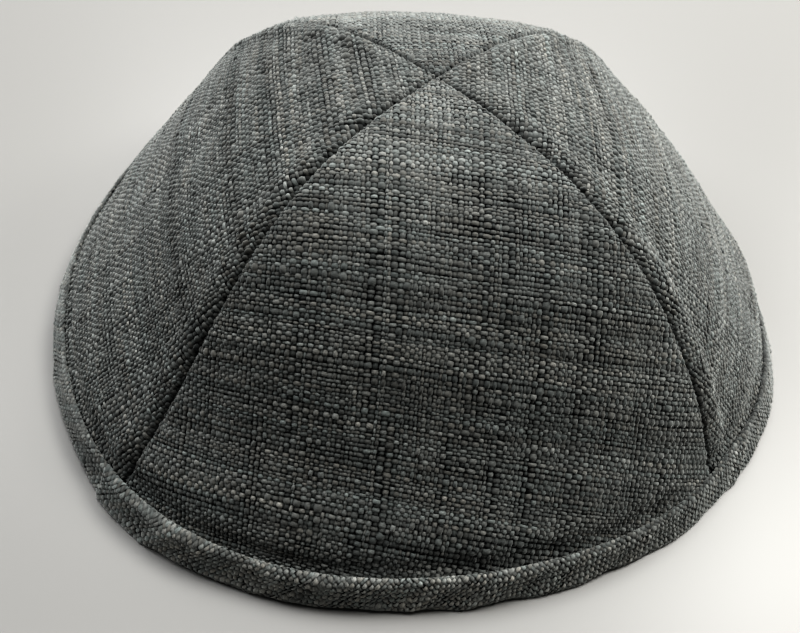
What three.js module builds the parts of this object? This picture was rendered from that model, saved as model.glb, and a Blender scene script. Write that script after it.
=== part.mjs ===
// A kippah of coarse woven cloth: four panels sewn together along seams that cross at the
// top, with a bias binding folded round the rim.
// Millimetres, +Z up. The rim stands on z = 0 and the front panel faces -Y.

import * as THREE from 'three';

// Crown
const RIM_RADIUS = 85;
const CROWN_HEIGHT = 57.9;
const SHOULDER_ROUNDNESS = 2.75;
const MIDDLE_RATIO_AT_TOP = 0.816;
const SIDEWAYS_SWAY = 1.5;
const CLOTH_THICKNESS = 1.4;
const SEAM_GAP = 0.3;
const TIP_HALF_WIDTH = 1.2;
const CROWN_HEM_HEIGHT = 1.5;

// The crown swells above the binding, which pulls the hem in. Both fade with the height.
const FULLNESS_CENTRE = 9;
const FULLNESS_REACH = 9;
const TUCK_FULL_BELOW = 2;
const TUCK_GONE_ABOVE = 8;

// The front right seam pulls the swelling in where it runs under the binding
const DENT_DEPTH = 1.3;
const DENT_BEARING_DEG = -42;
const DENT_REACH_DEG = 10;

// How finely a panel is divided, across between its seams and up from the rim. The lowest
// rows follow the tucked hem, the others are even in the angle whose sine is the level.
const PANEL_COLUMNS = 18;
const HEM_ROW_HEIGHTS = [CROWN_HEM_HEIGHT, 4, 7];
const PANEL_ROWS = 20;

// The small step, as a share of a panel, over which its slope is taken
const SLOPE_STEP = 0.001;

// Relief beside a seam: the joint pulled in, and the folded allowance raised beside it
const SEAM_GROOVE_DEPTH = 0.45;
const SEAM_GROOVE_REACH = 1.1;
const ALLOWANCE_RISE = 0.55;
const ALLOWANCE_CENTRE = 3.6;
const ALLOWANCE_REACH = 2.3;
const RELIEF_FADE_HALF_WIDTH = 14;
const RELIEF_STARTS_ABOVE = 8;
const RELIEF_FULL_ABOVE = 14;

// Binding
const BINDING_SECTIONS_PER_PANEL = 24;
const LAP_BEARING_DEG = -138.3;
const LAP_STEP_DEG = 0.4;
const LAP_FLAT_DEG = 14;
const LAP_FADE_DEG = 12;
const LAP_THICKNESS = 0.7;

const CLOTH_COLOUR = '#4d5052';
const BINDING_COLOUR = '#474a4c';
const CLOTH_ROUGHNESS = 0.95;

// Where each seam meets the rim, seen from above, and how far it bellies out half way up,
// as a share of its radius. The front left seam is pressed in a little.
const SEAMS = {
  frontLeft: { bearingDeg: -135, belly: -0.05 },
  frontRight: { bearingDeg: -45.5, belly: -0.015 },
  backRight: { bearingDeg: 44.6, belly: 0 },
  backLeft: { bearingDeg: 134.4, belly: 0 },
};

// The panels in turn round the crown. The seam allowances are pressed towards the side
// panels, which carry the raised band.
const PANELS = [
  { name: 'crown_panel_front', from: 'frontLeft', to: 'frontRight', allowance: 0 },
  { name: 'crown_panel_right', from: 'frontRight', to: 'backRight', allowance: 1 },
  { name: 'crown_panel_back', from: 'backRight', to: 'backLeft', allowance: 0 },
  { name: 'crown_panel_left', from: 'backLeft', to: 'frontLeft', allowance: 1 },
];

// The rim isn't a true circle: each row adds waves of so many lobes round it, as shares
// of the radius.
const RIM_WAVES = [
  { lobes: 3, cosine: 0.016, sine: -0.011 },
  { lobes: 4, cosine: -0.013, sine: 0 },
];

// The swelling above the rim and the tuck of the hem, also as waves round the rim, in
// millimetres: fuller towards the front left, where the cap lies a little over the rim.
const FULLNESS_WAVES = [
  { lobes: 0, cosine: 0.55, sine: 0 },
  { lobes: 1, cosine: -0.76, sine: -0.99 },
  { lobes: 2, cosine: -0.13, sine: 0.46 },
];
const TUCK_WAVES = [
  { lobes: 0, cosine: 1.45, sine: 0 },
  { lobes: 1, cosine: -0.47, sine: 0 },
];

// The two faces of the cloth, each a dome of its own radius and height.
const OUTER_FACE = { radius: RIM_RADIUS, height: CROWN_HEIGHT };
const INNER_FACE = {
  radius: RIM_RADIUS - CLOTH_THICKNESS,
  height: CROWN_HEIGHT - CLOTH_THICKNESS,
};

// Section of the binding, a U folded up round the crown's hem, as one closed loop.
// outward is measured from the crown's outer face at that height, and lap says how much
// of the strip's overlapping end that point takes.
const BINDING_SECTION = [
  { height: 7.3, outward: 0.3, lap: 0 },
  { height: 7.45, outward: 0.75, lap: 0.6 },
  { height: 6.6, outward: 1.15, lap: 1 },
  { height: 4, outward: 1.3, lap: 1 },
  { height: 1.6, outward: 1.2, lap: 1 },
  { height: 0.5, outward: 0.85, lap: 0.8 },
  { height: 0, outward: 0.2, lap: 0 },
  { height: 0, outward: -1.6, lap: 0 },
  { height: 0.5, outward: -2.3, lap: 0 },
  { height: 1.6, outward: -2.75, lap: 0 },
  { height: 4, outward: -2.85, lap: 0 },
  { height: 6.6, outward: -2.75, lap: 0 },
  { height: 7, outward: -2.3, lap: 0 },
  { height: 7, outward: -1.75, lap: 0 },
  { height: 4, outward: -1.75, lap: 0 },
  { height: 1.1, outward: -1.75, lap: 0 },
  { height: 1.1, outward: 0.3, lap: 0 },
  { height: 4, outward: 0.3, lap: 0 },
];

const radians = THREE.MathUtils.degToRad;
const blend = THREE.MathUtils.lerp;

/** A point in the horizontal plane at a bearing and a distance from the axis. */
function polarPoint(bearing, distance) {
  return new THREE.Vector2(distance * Math.cos(bearing), distance * Math.sin(bearing));
}

/** The sum of some waves at a bearing. */
function waveSum(waves, bearing) {
  const wave = (sum, { lobes, cosine, sine }) =>
    sum + cosine * Math.cos(lobes * bearing) + sine * Math.sin(lobes * bearing);
  return waves.reduce(wave, 0);
}

/** How far the crown swells or is tucked in, at a bearing and a height. */
function rimFullness(bearing, height) {
  const turn = THREE.MathUtils.radToDeg(bearing) - DENT_BEARING_DEG;
  const fromDent = (THREE.MathUtils.euclideanModulo(turn + 180, 360) - 180) / DENT_REACH_DEG;
  const dent = DENT_DEPTH * Math.exp(-(fromDent ** 2));
  const fromCentre = (height - FULLNESS_CENTRE) / FULLNESS_REACH;
  const swelling = (waveSum(FULLNESS_WAVES, bearing) - dent) * Math.exp(-(fromCentre ** 2));
  const released = THREE.MathUtils.smoothstep(height, TUCK_FULL_BELOW, TUCK_GONE_ABOVE);
  return swelling - waveSum(TUCK_WAVES, bearing) * (1 - released);
}

/** The bearings of a panel's two seams, the second always the larger. */
function panelBearings(panel) {
  const start = radians(SEAMS[panel.from].bearingDeg);
  const end = radians(SEAMS[panel.to].bearingDeg);
  return { start, end: end > start ? end : end + 2 * Math.PI };
}

/**
 * The chord and the rise of a panel's level section, which is one arc through its two
 * seams and its middle. level runs from 0 at the rim to 1 at the top.
 */
function levelArc(panel, level, face) {
  const { start, end } = panelBearings(panel);
  const seamRadius = face.radius * (1 - level) ** (1 / SHOULDER_ROUNDNESS);
  const bow = 4 * level * (1 - level);
  const startPoint = polarPoint(start, seamRadius * (1 + SEAMS[panel.from].belly * bow));
  const endPoint = polarPoint(end, seamRadius * (1 + SEAMS[panel.to].belly * bow));
  const middleRatio = blend(1, MIDDLE_RATIO_AT_TOP, level);
  const middlePoint = polarPoint((start + end) / 2, seamRadius * middleRatio);
  const centre = startPoint.clone().add(endPoint).multiplyScalar(0.5);
  const halfChord = endPoint.clone().sub(startPoint).multiplyScalar(0.5);
  const rise = middlePoint.sub(centre);
  const halfAngle = 2 * Math.atan(rise.length() / halfChord.length());
  return { centre, halfChord, rise, halfAngle };
}

/** A point of one face of the cloth. across runs from -1 to 1 between the seams. */
function crownPoint(panel, across, level, face) {
  const { centre, halfChord, rise, halfAngle } = levelArc(panel, level, face);
  const along = Math.sin(across * halfAngle) / Math.sin(halfAngle);
  const lift = (Math.cos(across * halfAngle) - Math.cos(halfAngle)) / (1 - Math.cos(halfAngle));
  const flat = centre.clone().addScaledVector(halfChord, along).addScaledVector(rise, lift);
  const bearing = flat.angle();
  flat.multiplyScalar(1 + waveSum(RIM_WAVES, bearing));
  flat.addScaledVector(polarPoint(bearing, 1), rimFullness(bearing, CROWN_HEIGHT * level));
  const sway = SIDEWAYS_SWAY * 4 * level * (1 - level);
  return new THREE.Vector3(flat.x + sway, flat.y, face.height * level);
}

/** The direction that points straight out of the crown at a point of its outer face. */
function crownNormal(panel, across, level) {
  const here = crownPoint(panel, across, level, OUTER_FACE);
  const beside = crownPoint(panel, across + SLOPE_STEP, level, OUTER_FACE).sub(here);
  const below = crownPoint(panel, across, level - SLOPE_STEP, OUTER_FACE).sub(here);
  return below.cross(beside).normalize();
}

/** How far the cloth stands out beside a seam, at a distance from it. */
function seamRelief(panel, distance) {
  const groove = -SEAM_GROOVE_DEPTH * Math.exp(-((distance / SEAM_GROOVE_REACH) ** 2));
  const fromBand = (distance - ALLOWANCE_CENTRE) / ALLOWANCE_REACH;
  return groove + panel.allowance * ALLOWANCE_RISE * Math.exp(-(fromBand ** 2));
}

/** A point of the outer face with the relief of the two seams beside it. */
function reliefPoint(panel, across, level) {
  const point = crownPoint(panel, across, level, OUTER_FACE);
  const halfWidth = levelArc(panel, level, OUTER_FACE).halfChord.length();
  const fromSeam = (1 - Math.abs(across)) * halfWidth;
  const narrowing = Math.min(1, halfWidth / RELIEF_FADE_HALF_WIDTH);
  const aboveRim = THREE.MathUtils.smoothstep(point.z, RELIEF_STARTS_ABOVE, RELIEF_FULL_ABOVE);
  const amount = seamRelief(panel, fromSeam) * narrowing * aboveRim;
  if (amount === 0) {
    return point;
  }
  return point.addScaledVector(crownNormal(panel, across, level), amount);
}

/** The level at which a panel's half width shrinks to its blunt tip. */
function tipLevel(panel) {
  const halfWidthAtRim = levelArc(panel, 0, OUTER_FACE).halfChord.length();
  return 1 - (TIP_HALF_WIDTH / halfWidthAtRim) ** SHOULDER_ROUNDNESS;
}

/** The levels of a panel's rows, from the hem to the blunt tip. */
function rowLevels(panel, face) {
  const levels = HEM_ROW_HEIGHTS.map((height) => height / face.height);
  const lowest = Math.asin(levels.at(-1));
  const highest = Math.asin(tipLevel(panel));
  for (let row = 1; row <= PANEL_ROWS; row += 1) {
    levels.push(Math.sin(blend(lowest, highest, row / PANEL_ROWS)));
  }
  return levels;
}

/**
 * The grid of points on one face of a panel. Columns crowd towards the seams, and both
 * side edges keep half the seam gap.
 */
function faceGrid(panel, face, pointAt) {
  const rows = [];
  for (const level of rowLevels(panel, face)) {
    const halfWidth = levelArc(panel, level, face).halfChord.length();
    const reach = 1 - SEAM_GAP / 2 / halfWidth;
    const points = [];
    for (let column = 0; column <= PANEL_COLUMNS; column += 1) {
      const turn = Math.PI * (column / PANEL_COLUMNS - 0.5);
      points.push(pointAt(panel, reach * Math.sin(turn), level, face));
    }
    rows.push(points);
  }
  return rows;
}

/** The grid's outline as row and column pairs, anticlockwise seen from outside. */
function gridOutline(lastRow, lastColumn) {
  const outline = [];
  for (let column = 0; column < lastColumn; column += 1) {
    outline.push([0, column]);
  }
  for (let row = 0; row < lastRow; row += 1) {
    outline.push([row, lastColumn]);
  }
  for (let column = lastColumn; column > 0; column -= 1) {
    outline.push([lastRow, column]);
  }
  for (let row = lastRow; row > 0; row -= 1) {
    outline.push([row, 0]);
  }
  return outline;
}

/** Two triangles for the quad a b c d, whose corners run anticlockwise from outside. */
function quad(a, b, c, d) {
  return [a, b, c, a, c, d];
}

/** A geometry from points and a list of triangle corners. */
function facetedGeometry(points, corners) {
  const geometry = new THREE.BufferGeometry().setFromPoints(points);
  geometry.setIndex(corners);
  geometry.computeVertexNormals();
  return geometry;
}

/** A wall of cloth between an outer and an inner grid, closed along its whole edge. */
function wallGeometry(outer, inner) {
  const lastRow = outer.length - 1;
  const lastColumn = outer[0].length - 1;
  const width = lastColumn + 1;
  const innerStart = outer.length * width;
  const corners = [];
  for (let row = 0; row < lastRow; row += 1) {
    for (let column = 0; column < lastColumn; column += 1) {
      const low = row * width + column;
      const high = low + width;
      corners.push(...quad(low, low + 1, high + 1, high));
      corners.push(...quad(low, high, high + 1, low + 1).map((index) => index + innerStart));
    }
  }
  const rim = gridOutline(lastRow, lastColumn).map(([row, column]) => row * width + column);
  rim.forEach((here, place) => {
    const next = rim[(place + 1) % rim.length];
    corners.push(...quad(next, here, here + innerStart, next + innerStart));
  });
  return facetedGeometry([...outer.flat(), ...inner.flat()], corners);
}

/** One panel of the crown. */
function crownPanel(panel) {
  const outer = faceGrid(panel, OUTER_FACE, reliefPoint);
  const inner = faceGrid(panel, INNER_FACE, crownPoint);
  const cloth = new THREE.MeshStandardMaterial({
    color: CLOTH_COLOUR,
    roughness: CLOTH_ROUGHNESS,
    metalness: 0,
  });
  const mesh = new THREE.Mesh(wallGeometry(outer, inner), cloth);
  mesh.name = panel.name;
  return mesh;
}

/** How much the binding's overlapping end adds at a bearing, from 0 to 1. */
function lapShare(bearingDeg) {
  const past = THREE.MathUtils.euclideanModulo(bearingDeg - LAP_BEARING_DEG, 360);
  const stepUp = Math.min(1, past / LAP_STEP_DEG);
  const fadeOut = 1 - THREE.MathUtils.smoothstep(past, LAP_FLAT_DEG, LAP_FLAT_DEG + LAP_FADE_DEG);
  return stepUp * fadeOut;
}

/** The bearings in degrees at which the binding has a section, over one panel. */
function bindingBearings(panel) {
  const { start, end } = panelBearings(panel);
  const first = THREE.MathUtils.radToDeg(start);
  const last = THREE.MathUtils.radToDeg(end);
  const bearings = [];
  for (let step = 0; step < BINDING_SECTIONS_PER_PANEL; step += 1) {
    bearings.push(blend(first, last, step / BINDING_SECTIONS_PER_PANEL));
  }
  const lapEdges = [LAP_BEARING_DEG, LAP_BEARING_DEG + LAP_STEP_DEG].map((edge) => edge + 360);
  bearings.push(...lapEdges.filter((edge) => edge > first && edge < last));
  return bearings.sort((a, b) => a - b);
}

/** The binding's section at one bearing over a panel. */
function bindingLoop(panel, bearingDeg) {
  const { start, end } = panelBearings(panel);
  const across = (2 * (radians(bearingDeg) - start)) / (end - start) - 1;
  const lap = lapShare(bearingDeg) * LAP_THICKNESS;
  return BINDING_SECTION.map((corner) => {
    const point = crownPoint(panel, across, corner.height / CROWN_HEIGHT, OUTER_FACE);
    const outward = new THREE.Vector3(point.x, point.y, 0).normalize();
    return point.addScaledVector(outward, corner.outward + corner.lap * lap);
  });
}

/** The strip folded round the rim, one closed ring. */
function rimBinding() {
  const loops = PANELS.flatMap((panel) =>
    bindingBearings(panel).map((bearing) => bindingLoop(panel, bearing)));
  const size = BINDING_SECTION.length;
  const corners = [];
  loops.forEach((_, section) => {
    const here = section * size;
    const there = ((section + 1) % loops.length) * size;
    for (let corner = 0; corner < size; corner += 1) {
      const next = (corner + 1) % size;
      corners.push(...quad(here + corner, here + next, there + next, there + corner));
    }
  });
  const cloth = new THREE.MeshStandardMaterial({
    color: BINDING_COLOUR,
    roughness: CLOTH_ROUGHNESS,
    metalness: 0,
  });
  const mesh = new THREE.Mesh(facetedGeometry(loops.flat(), corners), cloth);
  mesh.name = 'rim_binding';
  return mesh;
}

const kippah = new THREE.Group();
kippah.add(...PANELS.map(crownPanel), rimBinding());

// The origin is the middle of the footprint.
const footprint = new THREE.Box3().setFromObject(kippah).getCenter(new THREE.Vector3());
kippah.position.set(-footprint.x, -footprint.y, 0);

export default kippah;
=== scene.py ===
"""A four-panel cloth kippah on a pale table top, woven thread by thread.

The crown is a dome of four gores and the rim is bound with a bias strip. Both are built on
the same curves as the solid part, which they replace. Lengths in the classes are
millimetres, measured from the dome's own axis, and become metres where a mesh is made.
"""

import logging
import math
from collections.abc import Callable
from dataclasses import dataclass, replace
from enum import Enum, IntEnum
from functools import cached_property

import bpy
import numpy as np
from mathutils import Matrix, Vector


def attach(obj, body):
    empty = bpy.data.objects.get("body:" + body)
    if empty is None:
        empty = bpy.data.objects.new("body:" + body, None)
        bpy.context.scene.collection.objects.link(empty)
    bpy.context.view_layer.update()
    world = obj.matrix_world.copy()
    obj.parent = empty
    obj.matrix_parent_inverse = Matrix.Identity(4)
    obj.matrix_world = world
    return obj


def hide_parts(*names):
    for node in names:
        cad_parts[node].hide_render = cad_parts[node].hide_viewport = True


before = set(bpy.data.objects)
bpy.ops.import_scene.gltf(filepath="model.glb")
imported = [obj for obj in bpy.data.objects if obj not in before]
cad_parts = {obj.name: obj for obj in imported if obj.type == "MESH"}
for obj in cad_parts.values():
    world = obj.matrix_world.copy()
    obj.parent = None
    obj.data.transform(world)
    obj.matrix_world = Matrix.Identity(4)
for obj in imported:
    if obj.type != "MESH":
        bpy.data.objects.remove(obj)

logging.basicConfig(level=logging.INFO, format="%(message)s")
LOG = logging.getLogger("kippah")

METRES_PER_MM = 0.001
FULL_TURN_DEG = 360.0
HALF_TURN_DEG = FULL_TURN_DEG / 2.0

# Shorter vectors than this count as this long when they are scaled.
SHORTEST = 1e-12

# The part stands on the middle of its footprint, which is this far from the dome's axis.
FOOTPRINT_CENTRE = (1.5151, 0.4885)

# The map of places on the yarn or cloth, the map for baking and the layer of yarn colours.
YARN_MAP = "YarnPlace"
BAKE_MAP = "OFBake"
TONE_LAYER = "YarnTone"

# Each hump starts at a random place on this length of yarn.
YARN_ON_SPOOL = 400.0

# How much of its square in the second map a hump fills, along each side.
CELL_FILL = 0.8

# Waves round the axis: the number of lobes of each, its cosine's size and its sine's.
Waves = tuple[tuple[int, float, float], ...]


def linear_rgba(hex_colour: str) -> tuple[float, float, float, float]:
    """Turns an sRGB hex colour into the linear colour that shaders use.

    Args:
        hex_colour: Six hex digits after a hash sign.

    Returns:
        Red, green and blue in linear light, and an alpha of one.
    """
    shares = [int(hex_colour[place : place + 2], 16) / 255 for place in (1, 3, 5)]
    linear = [s / 12.92 if s <= 0.04045 else ((s + 0.055) / 1.055) ** 2.4 for s in shares]
    return (*linear, 1.0)


def smooth_step(value: np.ndarray, low: float, high: float) -> np.ndarray:
    """Rises from 0 at low to 1 at high along 3t^2 - 2t^3."""
    share = np.clip((value - low) / (high - low), 0.0, 1.0)
    return share * share * (3.0 - 2.0 * share)


def bell(distance: np.ndarray, reach: float) -> np.ndarray:
    """Falls off from 1 to both sides as exp(-(distance / reach)^2)."""
    return np.exp(-((distance / reach) ** 2))


def turn_from(middle_deg: float, bearing_deg: np.ndarray) -> np.ndarray:
    """The angle from a middle bearing to others, from -180 to 180 degrees."""
    return (bearing_deg - middle_deg + HALF_TURN_DEG) % FULL_TURN_DEG - HALF_TURN_DEG


def joined(table: np.ndarray, row: np.ndarray, column: np.ndarray) -> np.ndarray:
    """Reads a table between its entries, joining the four round each place evenly.

    Args:
        table: Entries by row and column, each a number or a line of numbers.
        row: Places among the rows, counted in rows.
        column: Places among the columns, counted in columns.

    Returns:
        The value at each place, held just inside the table's last row and column.
    """
    short_of_last = 1.001
    row = np.clip(row, 0, table.shape[0] - short_of_last)
    column = np.clip(column, 0, table.shape[1] - short_of_last)
    low, left = np.floor(row).astype(int), np.floor(column).astype(int)
    x, y = column - left, row - low
    if table.ndim > 2:
        x, y = x[..., None], y[..., None]
    bottom = table[low, left] * (1 - x) + table[low, left + 1] * x
    top = table[low + 1, left] * (1 - x) + table[low + 1, left + 1] * x
    return bottom * (1 - y) + top * y


def narrowed(
    low: np.ndarray, high: np.ndarray, halvings: int, holds: Callable[[np.ndarray], np.ndarray]
) -> np.ndarray:
    """Finds how far a condition holds, by halving ranges over and over.

    Args:
        low: Places at which it holds.
        high: Places at which it no longer does.
        halvings: How often the ranges are halved.
        holds: Tells for places between them whether it holds there.

    Returns:
        The places up to which it holds.
    """
    for _ in range(halvings):
        middle = (low + high) / 2.0
        still = holds(middle)
        low, high = np.where(still, middle, low), np.where(still, high, middle)
    return (low + high) / 2.0


@dataclass(frozen=True)
class SoftNoise:
    """Soft hills and hollows over a plane, from random values on a square lattice.

    Attributes:
        seed: Start of the random values.
        size: How many of them lie along each side.
    """

    seed: int
    size: int = 128

    @cached_property
    def lattice(self) -> np.ndarray:
        """The random values, from -1 to 1, which repeat past the lattice's edge."""
        return np.random.default_rng(self.seed).uniform(-1.0, 1.0, (self.size, self.size))

    def at(self, x: np.ndarray, y: np.ndarray) -> np.ndarray:
        """Joins the four values round each place, weighted by the smooth step.

        Args:
            x: Places along the first side, in lattice steps.
            y: Places along the second side, in lattice steps.

        Returns:
            The noise at each place, from -1 to 1.
        """
        column, row = np.floor(x).astype(int), np.floor(y).astype(int)
        across, up = smooth_step(x - column, 0.0, 1.0), smooth_step(y - row, 0.0, 1.0)
        here, beyond = column % self.size, (column + 1) % self.size
        low, high = row % self.size, (row + 1) % self.size
        values = self.lattice
        bottom = values[here, low] * (1.0 - across) + values[beyond, low] * across
        top = values[here, high] * (1.0 - across) + values[beyond, high] * across
        return bottom * (1.0 - up) + top * up


@dataclass(frozen=True)
class NoiseLayer:
    """One of the layers of soft noise that add up to an uneven surface.

    Attributes:
        share: Its weight in the sum.
        first: Weights of a place's numbers along the noise's first side.
        second: The same along its second side.
        start: Where the place of all zeros lies on the noise.
    """

    share: float
    first: tuple[float, ...]
    second: tuple[float, ...]
    start: tuple[float, float] = (0.0, 0.0)

    def at(self, noise: SoftNoise, *place: np.ndarray) -> np.ndarray:
        """Reads the layer at some places.

        Args:
            noise: The noise that it reads.
            *place: The places, given number by number.

        Returns:
            The layer's part of the sum.
        """
        x = sum(weight * number for weight, number in zip(self.first, place)) + self.start[0]
        y = sum(weight * number for weight, number in zip(self.second, place)) + self.start[1]
        return self.share * noise.at(x, y)


def unit(vectors: np.ndarray) -> np.ndarray:
    """The vectors scaled to length one."""
    return vectors / np.maximum(np.linalg.norm(vectors, axis=-1, keepdims=True), SHORTEST)


def away_from_axis(points: np.ndarray) -> np.ndarray:
    """The level direction away from the dome's axis at each point."""
    return unit(points * np.array([1.0, 1.0, 0.0]))


def grid_quads(rows: int, columns: int, start: int = 0) -> np.ndarray:
    """The faces of a grid whose points are counted row by row.

    Args:
        rows: Number of rows of points.
        columns: Number of points in a row.
        start: Index of the grid's first point.

    Returns:
        One line of four corners a face, anticlockwise where rows go up and columns right.
    """
    low = np.arange(rows - 1)[:, None] * columns + np.arange(columns - 1)[None, :] + start
    low = low.ravel()
    return np.stack([low, low + 1, low + columns + 1, low + columns], axis=-1)


def mesh_object(name: str, points: np.ndarray, quads: np.ndarray) -> bpy.types.Object:
    """Makes a smooth-shaded object at the origin from points and four-cornered faces.

    Args:
        name: The object's name.
        points: One line of x, y and z a point, in millimetres from the dome's axis.
        quads: One line of four point numbers a face.

    Returns:
        The object, linked to the scene.
    """
    shift = np.array([-FOOTPRINT_CENTRE[0], -FOOTPRINT_CENTRE[1], 0.0])
    mesh = bpy.data.meshes.new(name)
    mesh.vertices.add(len(points))
    mesh.vertices.foreach_set("co", ((points + shift) * METRES_PER_MM).ravel())
    mesh.loops.add(quads.size)
    mesh.loops.foreach_set("vertex_index", quads.ravel())
    mesh.polygons.add(len(quads))
    mesh.polygons.foreach_set("loop_start", np.arange(0, quads.size, 4))
    mesh.polygons.foreach_set("use_smooth", np.ones(len(quads), dtype=bool))
    mesh.update(calc_edges=True)
    item = bpy.data.objects.new(name, mesh)
    bpy.context.scene.collection.objects.link(item)
    return item


def set_map(item: bpy.types.Object, name: str, places: np.ndarray) -> None:
    """Adds a UV map from one place a face corner."""
    layer = item.data.uv_layers.new(name=name)
    layer.data.foreach_set("uv", places.astype(np.float32).ravel())


def set_tone(item: bpy.types.Object, colours: np.ndarray) -> None:
    """Adds the yarn colours, one linear red, green and blue a point.

    Args:
        item: The object.
        colours: One line a point.
    """
    layer = item.data.color_attributes.new(TONE_LAYER, "FLOAT_COLOR", "POINT")
    full = np.ones((len(colours), 4), dtype=np.float32)
    full[:, :3] = colours
    layer.data.foreach_set("color", full.ravel())


def add_node(
    material: bpy.types.Material, kind: str, settings: dict | None = None, **sockets: object
) -> bpy.types.Node:
    """Adds a shader node, sets its properties and fills or links its inputs.

    Args:
        material: The material that gets the node.
        kind: The node's type name.
        settings: Properties of the node, by name.
        **sockets: Inputs by name, with _ for a space, or by i and a number. Each is a value
            or another node's output to link.

    Returns:
        The new node.
    """
    node = material.node_tree.nodes.new(kind)
    for name, value in (settings or {}).items():
        setattr(node, name, value)
    for name, value in sockets.items():
        numbered = name[0] == "i" and name[1:].isdigit()
        socket = node.inputs[int(name[1:]) if numbered else name.replace("_", " ")]
        if isinstance(value, bpy.types.NodeSocket):
            material.node_tree.links.new(value, socket)
        else:
            socket.default_value = value
    return node


def math_node(
    material: bpy.types.Material, operation: str, *values: object
) -> bpy.types.NodeSocket:
    """Adds a node that reckons with the values, or linked outputs, and returns its result."""
    sockets = {f"i{number}": value for number, value in enumerate(values)}
    return add_node(material, "ShaderNodeMath", {"operation": operation}, **sockets).outputs[0]


def start_material(
    name: str, **inputs: object
) -> tuple[bpy.types.Material, bpy.types.ShaderNodeBsdfPrincipled]:
    """Makes a material and fills inputs of its shader.

    Args:
        name: The material's name.
        **inputs: Values by the input's name, with _ for a space.

    Returns:
        The material and its shader node.
    """
    made = bpy.data.materials.new(name)
    made.use_nodes = True
    shader = made.node_tree.nodes["Principled BSDF"]
    for socket, value in inputs.items():
        shader.inputs[socket.replace("_", " ")].default_value = value
    return made, shader


@dataclass(frozen=True)
class SeamLine:
    """One of the four seams that run from the rim to the top.

    Attributes:
        bearing_deg: Where it meets the rim, anticlockwise from the wearer's right side.
        belly: How much it bulges halfway up, as a share of its distance from the axis.
    """

    bearing_deg: float
    belly: float

    def spot(self, bow: np.ndarray) -> np.ndarray:
        """The seam's place in a level section of radius one, given that level's bow."""
        angle = math.radians(self.bearing_deg)
        return (1.0 + self.belly * bow)[..., None] * np.array([math.cos(angle), math.sin(angle)])


FRONT_LEFT = SeamLine(-135.0, -0.05)
FRONT_RIGHT = SeamLine(-45.5, -0.015)
BACK_RIGHT = SeamLine(44.6, 0.0)
BACK_LEFT = SeamLine(134.4, 0.0)


@dataclass(frozen=True)
class Gore:
    """One of the crown's four tapering panels, as it was cut and sewn.

    Attributes:
        node: The solid that it replaces.
        title: A plain name for its pieces.
        start: The seam on its left, seen from outside with the top upwards.
        end: The seam on its right.
        allowance: 1 where the seam allowances are pressed under it, or else 0.
        weft_slope_deg: How far the cross threads drop to the right.
        warp_lean_deg: How far the upright threads lean to the right.
        thread_stretch: Spacing of its threads, as a share of the cloth's usual one.
        seed: Start of its random choices.
    """

    node: str
    title: str
    start: SeamLine
    end: SeamLine
    allowance: float
    weft_slope_deg: float
    warp_lean_deg: float
    thread_stretch: float
    seed: int

    @property
    def span_deg(self) -> float:
        """The angle between the two seams."""
        return (self.end.bearing_deg - self.start.bearing_deg) % FULL_TURN_DEG

    def across_at(self, bearing_deg: np.ndarray) -> np.ndarray:
        """The place between the seams, from -1 to 1, that a bearing over this gore has."""
        return 2.0 * ((bearing_deg - self.start.bearing_deg) % FULL_TURN_DEG) / self.span_deg - 1.0


GORES = (
    Gore(
        "crown_panel_front", "front_gore", FRONT_LEFT, FRONT_RIGHT, allowance=0.0,
        weft_slope_deg=9.0, warp_lean_deg=3.4, thread_stretch=1.03, seed=11,
    ),
    Gore(
        "crown_panel_right", "right_gore", FRONT_RIGHT, BACK_RIGHT, allowance=1.0,
        weft_slope_deg=3.5, warp_lean_deg=3.0, thread_stretch=1.05, seed=23,
    ),
    Gore(
        "crown_panel_back", "back_gore", BACK_RIGHT, BACK_LEFT, allowance=0.0,
        weft_slope_deg=-3.0, warp_lean_deg=-1.0, thread_stretch=1.03, seed=37,
    ),
    Gore(
        "crown_panel_left", "left_gore", BACK_LEFT, FRONT_LEFT, allowance=1.0,
        weft_slope_deg=-6.5, warp_lean_deg=-8.0, thread_stretch=1.06, seed=51,
    ),
)


@dataclass(frozen=True)
class Swell:
    """A broad place where the crown stands out, or lies in, a little.

    Attributes:
        bearing_deg: Where its middle lies round the crown.
        reach_deg: How far it reaches to each side.
        height: Height of its middle.
        reach: How far it reaches up and down.
        rise: How far it stands out there, negative where it lies in.
    """

    bearing_deg: float
    reach_deg: float
    height: float
    reach: float
    rise: float

    def at(self, point: np.ndarray) -> np.ndarray:
        """The offset at some points, a bell both round the crown and up it.

        Args:
            point: x, y and z of each point.

        Returns:
            How far each is moved out.
        """
        bearing_deg = np.degrees(np.arctan2(point[..., 1], point[..., 0]))
        round_crown = bell(turn_from(self.bearing_deg, bearing_deg), self.reach_deg)
        return self.rise * round_crown * bell(point[..., 2] - self.height, self.reach)


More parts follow.
